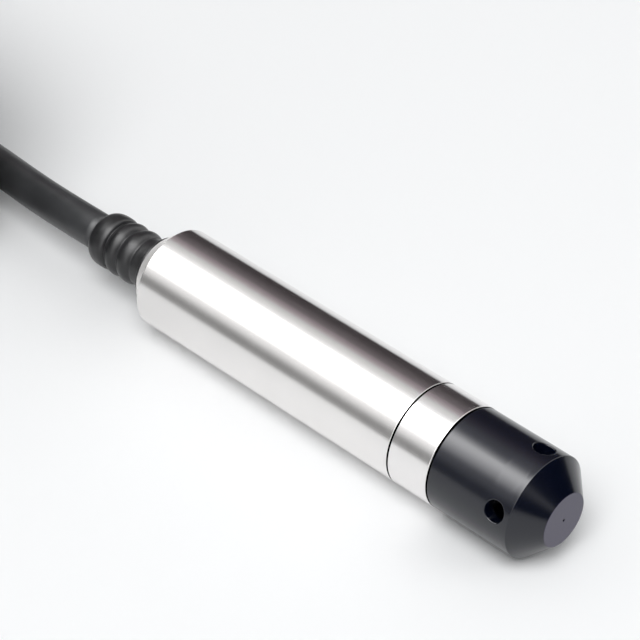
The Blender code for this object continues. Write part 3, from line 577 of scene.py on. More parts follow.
CELL_STEEL = Finish("cell_steel", (0.64, 0.63, 0.62), 0.24, **TURNED_METAL, grain_size=0.1, relief=0.003, cloud=0.03)
CLAMP_STEEL = Finish("clamp_steel", (0.60, 0.60, 0.59), 0.30, **TURNED_METAL, grain_size=0.15, relief=0.004, cloud=0.05)
DIAPHRAGM_FOIL = Finish("diaphragm_foil", (0.82, 0.81, 0.79), 0.12, **TURNED_METAL, grain_size=0.4, relief=0.006,
                        cloud=0.02)
PIN_GOLD = Finish("pin_gold", (0.83, 0.62, 0.26), 0.22, metallic=1.0, grain_size=0.1, relief=0.002)
WASHER_BRASS = Finish("washer_brass", (0.74, 0.55, 0.25), 0.26, **TURNED_METAL, grain_size=0.12, relief=0.004,
                      cloud=0.08)
NICKEL_PLATE = Finish("nickel_plate", (0.68, 0.66, 0.61), 0.20, **TURNED_METAL, grain_size=0.2, relief=0.003,
                      cloud=0.04)
FERRULE_TIN = Finish("ferrule_tin", (0.76, 0.76, 0.75), 0.27, metallic=1.0, grain=Grain.DRAWN, grain_size=0.1,
                     relief=0.004, cloud=0.05)
CAPACITOR_CAN = Finish("capacitor_can", (0.66, 0.67, 0.69), 0.24, metallic=1.0, grain_size=0.12, relief=0.004,
                       cloud=0.04)
BOARD_LAMINATE = SolderMask("board_laminate", (0.02, 0.17, 0.07), 0.36, coat=0.3, grain_size=0.3, relief=0.006)
CARRIER_PLASTIC = Finish("carrier_plastic", (0.56, 0.55, 0.51), 0.45, grain_size=0.25, relief=0.01)
CHIP_EPOXY = Finish("chip_epoxy", (0.018, 0.018, 0.018), 0.42, grain_size=0.08, relief=0.008, cloud=0.2)
ARRESTER_CERAMIC = Finish("arrester_ceramic", (0.83, 0.80, 0.75), 0.22, coat=0.5, grain_size=0.5, relief=0.004,
                          cloud=0.04)
TIE_NYLON = Finish("tie_nylon", (0.028, 0.028, 0.029), 0.38, grain_size=0.4, relief=0.010, cloud=0.15)
SHRINK_SLEEVE = Finish("shrink_sleeve", (0.014, 0.014, 0.015), 0.33, grain=Grain.DRAWN, grain_size=0.4, relief=0.02,
                       cloud=0.2)
CORE_RED = Finish("core_red", (0.52, 0.018, 0.018), 0.34, grain=Grain.DRAWN, grain_size=0.2, relief=0.004)
CORE_BLACK = Finish("core_black", (0.018, 0.018, 0.019), 0.34, grain=Grain.DRAWN, grain_size=0.2, relief=0.004)
CORE_GREEN = Finish("core_green", (0.025, 0.27, 0.07), 0.34, grain=Grain.DRAWN, grain_size=0.2, relief=0.004)
VENT_TUBE = Finish("vent_tube", (0.78, 0.78, 0.75), 0.30, grain=Grain.DRAWN, grain_size=0.3, relief=0.003, cloud=0.03)
LEAD_INSULATION = Finish("lead_insulation", (0.74, 0.73, 0.69), 0.4, grain_size=0.2, relief=0.003)


class Paints:
    """Builds each finish's material once and hands it out by finish."""

    def __init__(self) -> None:
        """Starts with no material made."""
        self.made: dict[str, bpy.types.Material] = {}

    def of(self, finish: Finish) -> bpy.types.Material:
        """The finish's material, made when it is first asked for."""
        if finish.name not in self.made:
            self.made[finish.name] = finish.material()
        return self.made[finish.name]

    def coat(self, item: bpy.types.Object, finish: Finish) -> None:
        """Puts a finish on all of an object's faces."""
        slots = item.data.materials
        if len(slots) == 0:
            slots.append(self.of(finish))
        for number in range(len(slots)):
            slots[number] = self.of(finish)


PAINTS = Paints()


def dress(item: bpy.types.Object, finish: Finish, nodes: Sequence[str], body: str = "probe"
          ) -> bpy.types.Object:
    """Gives a piece its finish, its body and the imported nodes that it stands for.

    Args:
        item: The piece.
        finish: What it is finished in.
        nodes: Names of the nodes that it replaces, if any.
        body: The body that it rides on.

    Returns:
        The same piece.
    """
    PAINTS.coat(item, finish)
    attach(item, body)
    if nodes:
        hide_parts(*nodes)
    LOG.info("%s: %d faces on %s", item.name, len(item.data.polygons), body)
    return item


# Thread


@dataclass(frozen=True)
class CapThread:
    """The right-hand thread that holds the cap on the head.

    Attributes:
        pitch: Advance in one turn.
        depth: Height of the ridge.
        start: Lowest place along X.
        stop: Highest place along X.
        run_out: Length over which it fades at each end.
        steepness: How steep its flanks are.
        rows: Rows of points in one pitch.
    """

    pitch: float = 1.5 * MM
    depth: float = 0.45 * MM
    start: float = 41.2 * MM
    stop: float = 45.8 * MM
    run_out: float = 0.7 * MM
    steepness: float = 2.2
    rows: int = 16

    def fade(self, x: np.ndarray) -> np.ndarray:
        """How fully the thread is cut at each place, from 0 to 1, as a column."""
        cut = smooth_step((x - self.start) / self.run_out) * smooth_step((self.stop - x) / self.run_out)
        return cut[:, None]

    def ridge(self, x: np.ndarray, first_angle: float = 0.0) -> np.ndarray:
        """Height of the ridge, from 0 in the root to the depth on the crest.

        The wave is the cosine of the turns past the helix, pressed through a hyperbolic tangent so that crest and
        root are flat and the flanks steep, and it fades in and out along X.

        Args:
            x: Places along the axis.
            first_angle: Angle of the first column.

        Returns:
            Heights in metres, shaped (places, FINE_SIDES).
        """
        angle = first_angle + whole_turn(FINE_SIDES)
        wave = np.cos(2 * math.pi * x[:, None] / self.pitch - angle[None, :])
        shape = 0.5 + 0.5 * np.tanh(self.steepness * wave) / math.tanh(self.steepness)
        return self.depth * shape * self.fade(x)

    def outline(self, radius: float) -> np.ndarray:
        """The outline points of a threaded surface, all at one radius."""
        x = np.linspace(self.start, self.stop, round(self.rows * (self.stop - self.start) / self.pitch))
        return np.stack([x, np.full_like(x, radius)], axis=1)


THREAD = CapThread()


# Pieces


@dataclass(frozen=True)
class HousingTube:
    """The polished tube with its coned end.

    Attributes:
        front: Its open end along X.
        shoulder: Where the cone starts.
        rear: The end face.
        inner_wall: Front face of the end wall.
        radius: Outer radius.
        face_radius: Radius of the end face.
        bore: Radius of the bore.
        gland_bore: Radius of the bore in the end wall.
    """

    front: float = 28.0 * MM
    shoulder: float = -41.2 * MM
    rear: float = -45.0 * MM
    inner_wall: float = -39.0 * MM
    radius: float = 11.0 * MM
    face_radius: float = 7.7 * MM
    bore: float = 9.4 * MM
    gland_bore: float = 6.2 * MM

    def build(self) -> None:
        """Turns the tube: outline down the outside, round the end face and back through the bore."""
        fine = 0.16 * MM
        outline = rounded_outline([
            (self.front, self.radius, 0.2 * MM), (self.shoulder, self.radius, 0.18 * MM),
            (self.rear, self.face_radius, 0.12 * MM), (self.rear, self.gland_bore, fine),
            (self.inner_wall, self.gland_bore, fine), (self.inner_wall, self.bore, fine),
            (self.front, self.bore, fine)], closed=True)
        item = solid_from("steel_tube", [Patch(turn(outline), loop_rows=True)])
        dress(item, POLISHED_STEEL, ["housing_tube"])


@dataclass(frozen=True)
class SensorHead:
    """The turned steel head: a ring flush with the tube, a threaded spigot in front and an O-ring spigot behind.

    Attributes:
        ring_front: Front face of the ring.
        ring_rear: Rear face of the ring.
        radius: The ring's radius.
        spigot_front: Front end of the threaded spigot.
        spigot_radius: Crest radius of its thread.
        lip: Rear face of the lip that holds the cell.
        window: Radius of the window in the lip.
        cell_bore: Radius of the cell's bore.
        spigot_rear: Rear end of the head.
        fit_radius: Radius of the rear spigot.
        groove: Place, half width and bottom radius of its O-ring groove.
    """

    ring_front: float = 37.9 * MM
    ring_rear: float = 28.3 * MM
    radius: float = 11.0 * MM
    spigot_front: float = 45.9 * MM
    spigot_radius: float = 8.6 * MM
    lip: float = 44.7 * MM
    window: float = 6.4 * MM
    cell_bore: float = 7.7 * MM
    spigot_rear: float = 20.3 * MM
    fit_radius: float = 9.1 * MM
    groove: Point = (24.3 * MM, 1.0 * MM, 8.05 * MM)

    def build(self) -> None:
        """Turns the head, with rows close together over the thread, which cuts inwards from the spigot's radius."""
        middle, half, bottom = self.groove
        soft, plain, round_edge = 0.1 * MM, 0.12 * MM, 0.2 * MM
        ring = rounded_outline([
            (THREAD.start - 0.3 * MM, self.spigot_radius, 0.0),
            (self.ring_front, self.spigot_radius, plain), (self.ring_front, self.radius, round_edge),
            (self.ring_rear, self.radius, soft), (self.ring_rear, self.fit_radius, plain),
            (middle + half, self.fit_radius, soft), (middle + half, bottom, soft),
            (middle - half, bottom, soft), (middle - half, self.fit_radius, soft),
            (self.spigot_rear, self.fit_radius, 0.25 * MM), (self.spigot_rear, self.cell_bore, round_edge),
            (self.lip, self.cell_bore, soft), (self.lip, self.window, soft),
            (self.spigot_front, self.window, round_edge), (self.spigot_front, self.spigot_radius, round_edge),
            (self.spigot_front - 0.21 * MM, self.spigot_radius, 0.0)])
        threaded = THREAD.outline(self.spigot_radius)[::-1]
        outline = np.concatenate([ring, threaded])
        relief = np.zeros((len(outline), FINE_SIDES))
        relief[len(ring):] = THREAD.ridge(threaded[:, 0]) - THREAD.depth * THREAD.fade(threaded[:, 0])
        item = solid_from("steel_head", [Patch(turn(outline, relief=relief), loop_rows=True)])
        dress(item, TURNED_STEEL, ["sensor_head"])


@dataclass(frozen=True)
class NoseCap:
    """The black cap: a ported barrel, a cone and a flat nose, with a chamber and a threaded bore inside.

    Attributes:
        nose: The nose face.
        cone: Where the cone meets the barrel.
        mouth: The open end.
        radius: The barrel's radius.
        face_radius: The nose face's radius.
        pip: Radius and depth of the centre mark.
        bore: Crest radius of the inner thread.
        step: Where the bore meets the chamber.
        chamber_front: The chamber's front wall.
        chamber: The chamber's radius.
        groove: Place, half width and bottom radius of the lock ring's groove.
        port_x: The ports' place.
        port_radius: The ports' radius.
        port_count: How many there are.
        port_angle: Angle of the first, from +Y towards +Z.
        port_edge: Rounding of their rims.
        port_rows: Shares at which the rows between a port and its quarter's border lie.
        band: Half width of the barrel's band that is laid out round the ports.
    """

    nose: float = 62.5 * MM
    cone: float = 57.6 * MM
    mouth: float = 38.2 * MM
    radius: float = 10.9 * MM
    face_radius: float = 5.75 * MM
    pip: Pair = (0.35 * MM, 0.4 * MM)
    bore: float = 8.9 * MM
    step: float = 46.2 * MM
    chamber_front: float = 56.9 * MM
    chamber: float = 8.2 * MM
    groove: Point = (40.2 * MM, 0.75 * MM, 10.1 * MM)
    port_x: float = 54.1 * MM
    port_radius: float = 2.2 * MM
    port_count: int = 4
    port_angle: float = math.radians(70.5)
    port_edge: float = 0.2 * MM
    port_rows: tuple[float, ...] = (1.0, 0.8, 0.62, 0.46, 0.32, 0.2, 0.11, 0.05, 0.015, 0.0)
    band: float = 2.6 * MM

    def port_patch(self, number: int) -> Patch:
        """A quarter of the band, from the outer skin through a port to the chamber's skin.

        Columns run round the quarter's border and, in step with it, round the port. On the skins a row is a blend of
        border and circle. On the rim it follows a quarter circle from the skin into the wall.

        Args:
            number: Which port.

        Returns:
            The grid.
        """
        middle = self.port_angle + 2 * math.pi * number / self.port_count
        half = math.pi / self.port_count
        long_side = np.linspace(-half, half, FINE_SIDES // self.port_count + 1)
        short_side = np.linspace(-self.band, self.band, 17)
        border_x = np.concatenate([np.full(len(long_side) - 1, -self.band), short_side[:-1],
                                   np.full(len(long_side) - 1, self.band), short_side[::-1][:-1]])
        border_angle = np.concatenate([long_side[:-1], np.full(len(short_side) - 1, half),
                                       long_side[::-1][:-1], np.full(len(short_side) - 1, -half)])
        bearing = np.arctan2(self.radius * border_angle, border_x)

        def skin(radius: float, circle: float, shares: np.ndarray) -> np.ndarray:
            """Rows of a cylinder's skin from the border, at share 1, to a circle round the port, at share 0."""
            share = shares[:, None]
            x = share * border_x + (1 - share) * (circle * np.cos(bearing))
            angle = middle + (share * border_angle + (1 - share) * np.arcsin(circle * np.sin(bearing) / radius))
            return points_at(self.port_x + x, radius * np.cos(angle), AXIS_HEIGHT + radius * np.sin(angle))

        def ring(circle: np.ndarray, height: np.ndarray) -> np.ndarray:
            """Rings about the port's own axis, from their radius and their height above the probe's axis."""
            side = circle[:, None] * np.sin(bearing)
            return points_at(self.port_x + circle[:, None] * np.cos(bearing),
                             height * math.cos(middle) - side * math.sin(middle),
                             AXIS_HEIGHT + height * math.sin(middle) + side * math.cos(middle))

        shares = np.array(self.port_rows)
        bend = np.linspace(0.0, math.pi / 2, 7)[1:, None]
        wide = self.port_radius + self.port_edge
        circles = (wide - self.port_edge * np.sin(bend)).ravel()
        top = np.sqrt(self.radius ** 2 - (wide * np.sin(bearing)) ** 2)[None, :]
        low = np.sqrt(self.chamber ** 2 - (wide * np.sin(bearing)) ** 2)[None, :]
        outer_rim = ring(circles, top - self.port_edge * (1 - np.cos(bend)))
        inner_rim = ring(circles[::-1], low + self.port_edge * (1 - np.cos(bend[::-1])))
        wall_share = np.linspace(0.0, 1.0, 8)[1:-1, None]
        wall_height = (top - self.port_edge) * (1 - wall_share) + (low + self.port_edge) * wall_share
        wall = ring(np.full(len(wall_share), self.port_radius), wall_height)
        return Patch(np.concatenate([skin(self.radius, wide, shares), outer_rim, wall, inner_rim,
                                     skin(self.chamber, wide, shares[::-1])]))

    def build(self) -> None:
        """Joins the front, the ported band, the threaded mouth and the chamber's front into one closed cap."""
        start = self.port_angle - math.pi / self.port_count  # half a quarter before the first port
        middle, half, bottom = self.groove
        soft, round_edge = 0.1 * MM, 0.2 * MM
        front = rounded_outline([
            (self.nose - self.pip[1], 0.0, 0.0), (self.nose, self.pip[0], 0.05 * MM),
            (self.nose, self.face_radius, 0.22 * MM), (self.cone, self.radius, 0.28 * MM),
            (self.port_x + self.band, self.radius, 0.0)])
        mouth = rounded_outline([
            (self.port_x - self.band, self.radius, 0.0), (self.mouth, self.radius, round_edge),
            (self.mouth, self.bore, round_edge), (middle - half, self.bore, soft), (middle - half, bottom, soft),
            (middle + half, bottom, soft), (middle + half, self.bore, soft),
            (THREAD.start - 0.02 * MM, self.bore, 0.0)])
        bore = THREAD.outline(self.bore)
        rear = rounded_outline([
            (self.step - 0.3 * MM, self.bore, 0.0), (self.step, self.bore, soft), (self.step, self.chamber, soft),
            (self.port_x - self.band, self.chamber, 0.0)])
        inside = np.concatenate([mouth, bore, rear])
        relief = np.zeros((len(inside), FINE_SIDES))
        relief[len(mouth):len(mouth) + len(bore)] = THREAD.ridge(bore[:, 0], start)
        chamber = rounded_outline([
            (self.port_x + self.band, self.chamber, 0.0), (self.chamber_front, self.chamber, soft),
            (self.chamber_front, 0.0, 0.0)])
        sheets = ((front, 0.0), (inside, relief), (chamber, 0.0))
        patches = [Patch(turn(outline, start=start, relief=added)) for outline, added in sheets]
        patches += [self.port_patch(number) for number in range(self.port_count)]
        item = solid_from("black_cap", patches, merge=0.0015 * MM)
        dress(item, BLACK_ACETAL, ["nose_cap"], body="cap")


@dataclass(frozen=True)
class ReliefBoot:
    """The ribbed rubber boot: a plug in the end wall, a thin flange, a neck, two round ribs and a domed end rib.

    Attributes:
        front: Rear side of the gap to the tube, where the flange starts.
        rear: The boot's end.
        plug_front: Front end of the plug.
        plug_radius: The plug's radius.
        flange: The flange's radius and thickness.
        neck: Radius between the flange and the first rib.
        neck_end: Where the neck has ended, from the flange face, and over what length it does so.
        ribs: Centre from the flange face, and width, of each round rib.
        rib_radius: Their radius.
        rib_power: Power of the half sine across them: under 1 is fuller.
        valley: Radius between them.
        end_rib: Where the end rib starts, reaches its crest and starts to fall, from the flange face.
        end_radius: Radius where it meets the rear face.
        hole: Radius of the cable's hole.
        droop: How far the ribs hang below the tube's axis under the cable's weight, and over what length.
    """

    front: float = -45.3 * MM
    rear: float = -62.5 * MM
    plug_front: float = -40.3 * MM
    plug_radius: float = 5.9 * MM
    flange: Pair = (7.1 * MM, 0.9 * MM)
    neck: float = 5.4 * MM
    neck_end: Pair = (4.9 * MM, 1.0 * MM)
    ribs: tuple[Pair, ...] = ((6.6 * MM, 3.9 * MM), (10.35 * MM, 3.4 * MM))
    rib_radius: float = 6.0 * MM
    rib_power: float = 0.8
    valley: float = 5.3 * MM
    end_rib: Point = (12.4 * MM, 13.9 * MM, 14.6 * MM)
    end_radius: float = 4.9 * MM
    hole: float = 4.4 * MM
    droop: Pair = (0.4 * MM, 4.0 * MM)

    def body_outline(self) -> np.ndarray:
        """The outside behind the flange, as (x, radius) points.

        A rib adds to the valley its height times a power of a half sine across its width, and the end rib is a flat
        crest with a rounded start that falls to the hole on a quarter ellipse.
        """
        length = self.front - self.rear
        start, crest, fall_start = self.end_rib
        rib_height = self.rib_radius - self.valley
        back = np.linspace(self.flange[1] + 0.25 * MM, start, 90)
        radius = self.valley + (self.neck - self.valley) * smooth_step((self.neck_end[0] - back) / self.neck_end[1])
        for centre, width in self.ribs:
            share = np.clip((back - centre) / width + 0.5, 0.0, 1.0)
            radius += rib_height * np.sin(math.pi * share) ** self.rib_power
        bend = np.linspace(0.0, math.pi / 2, 10)[1:]
        fall = np.linspace(0.0, math.pi / 2, 24)
        behind = np.concatenate([back, start + (crest - start) * (1 - np.cos(bend)),
                                 fall_start + (length - fall_start) * np.sin(fall)])
        radii = np.concatenate([radius, self.valley + rib_height * np.sin(bend),
                                self.end_radius + (self.rib_radius - self.end_radius) * np.cos(fall)])
        return np.stack([self.front - behind, radii], axis=1)

    def build(self) -> None:
        """Turns the boot as one closed solid and lowers its points behind the flange by an even step."""
        radius, thickness = self.flange
        ahead = rounded_outline([
            (self.plug_front, self.hole, 0.2 * MM), (self.plug_front, self.plug_radius, 0.3 * MM),
            (self.front, self.plug_radius, 0.05 * MM), (self.front, radius, 0.2 * MM),
            (self.front - thickness, radius, 0.35 * MM), (self.front - thickness, self.neck + 0.1 * MM, 0.05 * MM)])
        inside = np.array([(self.rear, self.hole + 0.05 * MM), (self.rear + 0.1 * MM, self.hole)])
        outline = np.concatenate([ahead, self.body_outline(), inside])
        points = turn(outline, sides=160)
        drop, over = self.droop
        points[..., 2] -= drop * smooth_step((self.front - thickness - points[..., 0]) / over)
        item = solid_from("ribbed_boot", [Patch(points, loop_rows=True)])
        dress(item, BOOT_RUBBER, ["strain_relief_boot"])


@dataclass(frozen=True)
class Cable:
    """The free cable: a stretch from the boot, then thirteen passes of a flat hank that end in a bare tail.

    Attributes:
        radius: The jacket's radius.
        pitch: Distance between neighbouring passes.
        near_x: The hank's fold centre on the probe's side.
        far_x: The other fold centre.
        middle_y: The hank's middle line.
        fold: Radius of the inner folds.
        lowest: Height of the lowest pass.
        layers: Passes on top of each other.
        tail_y: Line of the tail.
        tail_end: Where the tail ends along X.
        length: The whole free length; not used.
        route: The stretch from the boot to the hank.
        change: Share of the way back over which a pass changes layer or moves in.
        climb_from: Share of the way back from which an outer pass climbs.
        over_from: The same, from which the top one moves in.
        drop_from: The same, from which it comes down by a layer.
        inner_from: The same, from which an inner pass steps down.
        tail_in: Share of the way back in which the last pass reaches the tail's line.
    """

    radius: float = 4.1 * MM
    pitch: float = 8.6 * MM
    near_x: float = -124.5 * MM
    far_x: float = -227.15 * MM
    middle_y: float = -27.4 * MM
    fold: float = 24.8 * MM
    lowest: float = 5.54 * MM
    layers: int = 7
    tail_y: float = -42.8 * MM
    tail_end: float = -169.15 * MM
    length: float = 5.0
    route: tuple[Point, ...] = (
        (-62.5 * MM, 0.0, 10.6 * MM), (-67.5 * MM, 0.02 * MM, 10.56 * MM), (-71.5 * MM, 0.06 * MM, 10.45 * MM),
        (-79.5 * MM, 0.42 * MM, 10.03 * MM), (-87.5 * MM, 1.33 * MM, 9.2 * MM), (-95.5 * MM, 2.64 * MM, 8.1 * MM),
        (-101.5 * MM, 3.72 * MM, 7.2 * MM), (-107.5 * MM, 4.65 * MM, 6.35 * MM), (-115.5 * MM, 5.6 * MM, 5.65 * MM),
        (-124.5 * MM, 6.0 * MM, 5.54 * MM))
    change: float = 0.40
    climb_from: float = 0.60
    over_from: float = 0.20
    drop_from: float = 0.38
    inner_from: float = 0.12
    tail_in: float = 0.43

    def pass_points(self, number: int) -> np.ndarray:
        """One pass of the hank: out along +Y's side, round the far fold, back, and round the near fold.

        The outer passes climb a layer near the end of the way back. The top one moves in over its neighbour, and the
        inner ones step down a layer early on the way back. The last moves in to the tail's line and stops.

        Args:
            number: Which pass, from 0.

        Returns:
            Points shaped (count, 3).
        """
        top, last = self.layers - 1, 2 * self.layers - 2
        inner = number > top
        height = self.lowest + self.pitch * (last - number if inner else number)
        fold = self.fold if inner else self.fold + self.pitch
        run = self.near_x - self.far_x
        bend = np.linspace(0.0, math.pi, 34, endpoint=False)
        out = points_at(np.linspace(self.near_x, self.far_x, 28, endpoint=False), self.middle_y + fold, height)
        far = points_at(self.far_x - fold * np.sin(bend), self.middle_y + fold * np.cos(bend), height)
        if number == last:
            share = np.linspace(0.0, (self.tail_end - self.far_x) / run, 34)
            side = fold + (self.middle_y - self.tail_y - fold) * smooth_step(share / self.tail_in)
            return np.concatenate([out, far, points_at(self.far_x + run * share, self.middle_y - side, height)])
        share = np.linspace(0.0, 1.0, 46, endpoint=False)

        def moved(start: float) -> np.ndarray:
            """How much of a pitch a change that starts at a share of the way back has moved the pass by."""
            return self.pitch * smooth_step((share - start) / self.change)

        side, rise, near_z = fold, -moved(self.inner_from), height - self.pitch
        if number == top:
            side, rise = fold - moved(self.over_from), -moved(self.drop_from)
        elif number < top:
            rise, near_z = moved(self.climb_from), height + self.pitch
        near_fold = self.fold if number == top else fold
        back = points_at(self.far_x + run * share, self.middle_y - side, height + rise)
        near = points_at(self.near_x + near_fold * np.sin(bend), self.middle_y - near_fold * np.cos(bend), near_z)
        return np.concatenate([out, far, back, near])

    def path(self) -> np.ndarray:
        """The cable's whole middle line, from the boot to its end."""
        lead = through(self.route, 2.5 * MM)[:-1]
        passes = [self.pass_points(number) for number in range(2 * self.layers - 1)]
        return np.concatenate([lead] + passes)

    def build(self) -> tuple[bpy.types.Object, np.ndarray]:
        """Carries the jacket's round section along the path, with a map of metres along and round it.

        Returns:
            The cable and its path.
        """
        path = self.path()
        rings = carried_ring(path, self.radius, CORD_SIDES)
        patch = Patch(rings)
        points = rings.reshape(-1, 3)
        mesh = fill_mesh("cable", points, patch.quads()[:, ::-1])
        shape = bmesh.new()
        shape.from_mesh(mesh)
        shape.verts.ensure_lookup_table()
        shape.faces.new([shape.verts[number] for number in range(CORD_SIDES)])
        shape.faces.new([shape.verts[len(points) - 1 - number] for number in range(CORD_SIDES)])
        shape.to_mesh(mesh)
        shape.free()
        step = np.concatenate([[0.0], np.cumsum(np.linalg.norm(np.diff(path, axis=0), axis=1))])
        corners = np.zeros(len(mesh.loops), dtype=np.int32)
        mesh.loops.foreach_get("vertex_index", corners)
        ring_number, side_number = corners // CORD_SIDES, corners % CORD_SIDES
        face_of = np.repeat(np.arange(len(mesh.polygons)), [len(face.vertices) for face in mesh.polygons])
        seam = np.zeros(len(mesh.polygons), dtype=bool)
        np.logical_or.at(seam, face_of, side_number == CORD_SIDES - 1)
        wrap = seam[face_of] & (side_number == 0)
        across = (side_number + CORD_SIDES * wrap) * (2 * math.pi * self.radius / CORD_SIDES)
        layer = mesh.uv_layers.new(name="UVMap")
        layer.data.foreach_set("uv", np.stack([step[ring_number], across], axis=1).astype(np.float32).ravel())
        item = place_new("cable", mesh)
        dress(item, CABLE_JACKET, ["cable_run", "cable_hank", "cable_tail"])
        LOG.info("cable path %.3f m", float(step[-1]))
        return item, path


@dataclass(frozen=True)
class CableEnd:
    """What the tail ends in: a shrunk sleeve, three cores with crimped ferrules and the open vent tube.

    Attributes:
        stop: Where the jacket ends along X.
        y: Line of the tail.
        z: Its height.
        jacket: The jacket's radius.
        sleeve: The sleeve's length, gap and wall.
        waves: Height of the waves in its skin, and the angle in radians that they run through.
        core: A core's radius.
        core_length: A core's length.
        core_drop: Shares of that length where it is half way down and where it lies on the floor.
        circle: Sideways distance of the cores in the sleeve.
        spread: Sideways distance where they end.
        ferrule: A ferrule's radius and length.
        crimp: Depth of its crimp, and the shares of its length where that begins and ends.
        vent: The vent tube's radius.
        vent_bore: Its bore, as a share of that.
        vent_length: Its length, as a share of a core's.
        gap: Clearance between touching pieces.
    """

    stop: float = -169.15 * MM
    y: float = -42.8 * MM
    z: float = 5.54 * MM
    jacket: float = 4.1 * MM
    sleeve: Point = (12.0 * MM, 0.3 * MM, 0.6 * MM)
    waves: Pair = (0.12 * MM, 9.0)
    core: float = 0.7 * MM
    core_length: float = 34.0 * MM
    core_drop: Pair = (0.55, 0.85)
    circle: float = 1.9 * MM
    spread: float = 2.6 * MM
    ferrule: Pair = (0.6 * MM, 6.0 * MM)
    crimp: Point = (0.08 * MM, 0.15, 0.9)
    vent: float = 1.0 * MM
    vent_bore: float = 0.55
    vent_length: float = 0.45
    gap: float = 0.3 * MM

    def rod_mesh(self, name: str, path: np.ndarray, radius: float, hollow: float = 0.0) -> bpy.types.Object:
        """A round wire, or a tube where hollow is its inner radius, along a path.

        Args:
            name: The object's name.
            path: Points shaped (count, 3).
            radius: Outer radius.
            hollow: Inner radius of a tube, or 0.

        Returns:
            The object.
        """
        outer = carried_ring(path, radius, ROD_SIDES)
        if hollow:
            inner = carried_ring(path, hollow, ROD_SIDES)[::-1]
            return solid_from(name, [Patch(np.concatenate([outer, inner]), loop_rows=True)])
        ends = np.repeat(path[[0, -1]][:, None], ROD_SIDES, axis=1)
        return solid_from(name, [Patch(np.concatenate([ends[:1], outer, ends[1:]]))])

    def build_sleeve(self) -> bpy.types.Object:
        """The sleeve, shrunk a little past the jacket's end, with a soft waist and thin lips."""
        length, gap, wall = self.sleeve
        inner = self.jacket + gap
        swell, turned = self.waves
        x = np.linspace(-length / 2, length / 2, 40)
        outer = inner + wall - swell + swell * np.sin(x / length * turned) ** 2
        lips = np.stack([self.stop + np.concatenate([x, x[::-1]]),
                         np.concatenate([outer, np.full_like(x, inner)])], axis=1)
        return solid_from("end_sleeve_skin", [Patch(turn(lips, 96, middle=(self.y, self.z)), loop_rows=True)])

    def build(self) -> list[bpy.types.Object]:
        """Builds the end's pieces.

        Returns:
            The pieces, all carried by the cable.
        """
        made = [dress(self.build_sleeve(), SHRINK_SLEEVE, ["end_sleeve"])]
        half_sleeve = self.sleeve[0] / 2
        start = self.stop + self.gap
        halfway, landed = (self.stop + self.core_length * share for share in self.core_drop)
        for name, finish, side in (("red", CORE_RED, -1), ("black", CORE_BLACK, 0), ("green", CORE_GREEN, 1)):
            near, away = self.y + side * self.circle, self.y + side * self.spread
            knots = [(start, near, self.z), (start + half_sleeve, near, self.z),
                     (halfway, self.y + side * (self.circle + self.spread) / 2, self.z / 2),
                     (landed, away, self.core), (self.stop + self.core_length, away, self.core)]
            core = self.rod_mesh(f"core_{name}_wire", through(knots, 1.0 * MM), self.core)
            made.append(dress(core, finish, [f"end_core_{name}"]))
            made.append(self.build_ferrule(name, away))
        above = self.z + self.core + self.gap + self.vent
        places = (start, self.stop + half_sleeve, self.stop + self.core_length * self.vent_length)
        knots = [(x, self.y, above) for x in places]
        vent = self.rod_mesh("vent_tube_end", through(knots, 2.0 * MM), self.vent, self.vent * self.vent_bore)
        made.append(dress(vent, VENT_TUBE, ["end_vent_tube"]))
        return made

    def build_ferrule(self, name: str, y: float) -> bpy.types.Object:
        """A ferrule whose barrel is crimped to a soft square: four flats dip into it between its plain ends.

        Args:
            name: The core's colour name.
            y: The ferrule's line.

        Returns:
            The dressed ferrule.
        """
        radius, length = self.ferrule
        start = self.stop + self.core_length + self.gap
        stop = start + length
        outline = rounded_outline([(start, 0.0, 0.0), (start, radius, 0.08 * MM), (stop, radius, 0.15 * MM),
                                   (stop, 0.0, 0.0)])
        body = np.stack([np.linspace(stop - 0.25 * MM, start + 0.2 * MM, 40), np.full(40, radius)], axis=1)
        middle = len(outline) // 2
        outline = np.concatenate([outline[:middle], body[::-1], outline[middle:]])
        share = np.clip((outline[:, 0] - start) / length, 0.0, 1.0)
        depth, begin, end = self.crimp
        on_barrel = outline[:, 1] > 0.9 * radius
        pressed = smooth_step((share - begin) / 0.15) * smooth_step((end - share) / 0.1) * on_barrel
        sides, flats = 48, 4
        relief = -depth * pressed[:, None] * (0.5 + 0.5 * np.cos(flats * whole_turn(sides)))[None, :]
        turned = turn(outline, sides, middle=(y, self.core), relief=relief)
        item = solid_from(f"ferrule_{name}_barrel", [Patch(turned)])
        return dress(item, FERRULE_TIN, [f"end_ferrule_{name}"])


